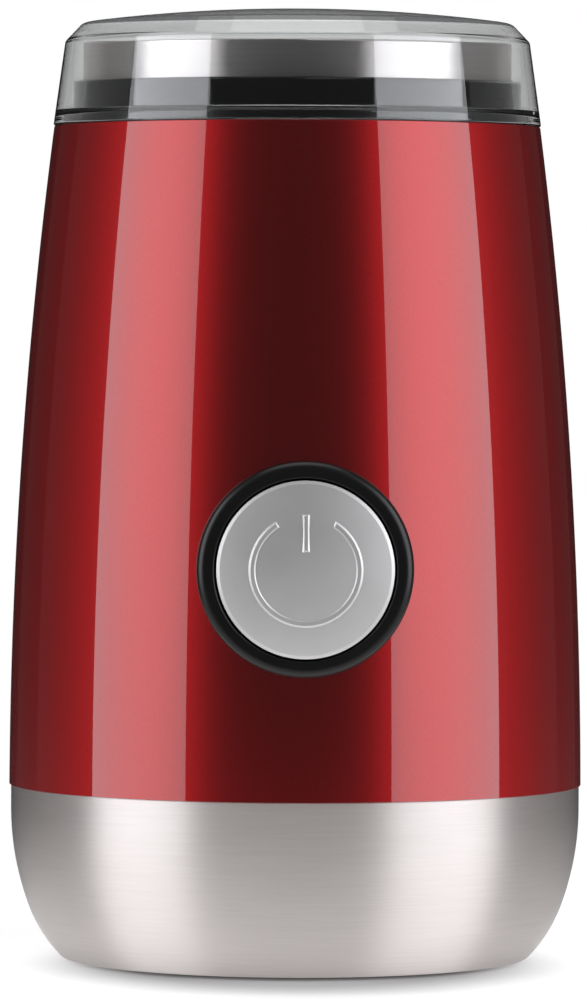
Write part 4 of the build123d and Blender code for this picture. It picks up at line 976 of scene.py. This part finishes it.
def makeFace(setup):
    low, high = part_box("button_disc")
    radius, middle = high[0], (low[2] + high[2]) / 2
    back, apex = -high[1], -low[1] - setup["signHeight"]

    def heightAt(away):
        return apex - setup["dome"] * (away / radius) ** 2

    edge = radius - setup["bevel"]
    spans = spansOf(knotsOf([
        (0, back, 0, 0),
        (radius, back, setup["backEdge"], 0),
        (radius, heightAt(edge) - setup["bevelDrop"], setup["bevelRound"], 0),
        (edge, heightAt(edge), setup["bevelRound"], halfBow(apex - heightAt(edge))),
        (0, apex, 0, 0),
    ], False), False)
    forward = Matrix.Translation((0, 0, middle)) @ Matrix.Rotation(math.pi / 2, 4, "X")
    mesh = turnedMesh("buttonFace", spans)
    polish(mesh, spans)
    face = pieceOf("buttonFace", mesh, "buttonSteel", "button", "button_steel", "button_disc")
    face.matrix_world = forward

    net = bmesh.new()
    start = math.radians(90 + setup["gapTurn"] / 2)
    sweep = math.radians(360 - setup["gapTurn"])
    turns = [start + sweep * i / setup["signSteps"] for i in range(setup["signSteps"] + 1)]
    ring = [Vector((math.cos(turn), math.sin(turn))) * setup["signRadius"] for turn in turns]
    ridge(net, ring, setup, heightAt)
    ridge(net, [Vector((0, setup["barLow"])), Vector((0, setup["barHigh"]))], setup, heightAt)
    bmesh.ops.recalc_face_normals(net, faces=net.faces)
    mesh = meshFrom(net, "standbySign")
    sign = pieceOf("standbySign", mesh, "buttonSteel", "button", "button_steel")
    sign.matrix_world = forward


makeFace(faceSetup)
print("button face made")

# coil springs: pressing squeezes the button's, and the interlock's stretches as its rod rises
springSetup = {
    "button": {"wire": 0.3 * mm, "turns": 4},       # half the wire's thickness
    "interlock": {"wire": 0.25 * mm, "turns": 8},
    "turnSteps": 48,
    "wireSteps": 12,
}


def coilMesh(name, coil, width, length, place):
    net = bmesh.new()
    wire, turns = coil["wire"], coil["turns"]
    count, sides = turns * springSetup["turnSteps"], springSetup["wireSteps"]
    rings = []
    for step in range(count + 1):
        turn = 2 * math.pi * turns * step / count
        out = Vector((math.cos(turn), math.sin(turn), 0))
        middle = out * (width / 2 - wire) + up * (wire + (length - 2 * wire) * step / count)
        ring = []
        for side in range(sides):
            angle = 2 * math.pi * side / sides
            offset = out * math.cos(angle) + up * math.sin(angle)
            ring.append(net.verts.new(middle + offset * wire))
        rings.append(ring)
    for first, second in zip(rings, rings[1:]):
        for i in range(sides):
            j = (i + 1) % sides
            net.faces.new((first[i], second[i], second[j], first[j])).smooth = True
    net.faces.new(rings[0])
    net.faces.new(list(reversed(rings[-1])))
    bmesh.ops.recalc_face_normals(net, faces=net.faces)
    mesh = meshFrom(net, name)
    mesh.transform(place)
    return mesh


def makeSprings(setup):
    low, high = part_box("button_spring")
    width, length = high[0] - low[0], high[1] - low[1]
    foot = ((low[0] + high[0]) / 2, high[1], (low[2] + high[2]) / 2)
    place = Matrix.Translation(foot) @ Matrix.Rotation(math.pi / 2, 4, "X")
    mesh = coilMesh("buttonSpring", setup["button"], width, length, place)
    spring = pieceOf("buttonSpring", mesh, "springSteel", "body", "spring_steel", "button_spring")
    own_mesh(spring)
    low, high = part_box("interlock_spring")
    width, length = high[0] - low[0], high[2] - low[2]
    foot = ((low[0] + high[0]) / 2, (low[1] + high[1]) / 2, low[2])
    mesh = coilMesh("interlockSpring", setup["interlock"], width, length, Matrix.Translation(foot))
    spring = pieceOf("interlockSpring", mesh, "springSteel", None, "spring_steel", "interlock_spring")
    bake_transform(spring)


makeSprings(springSetup)
print("springs made")
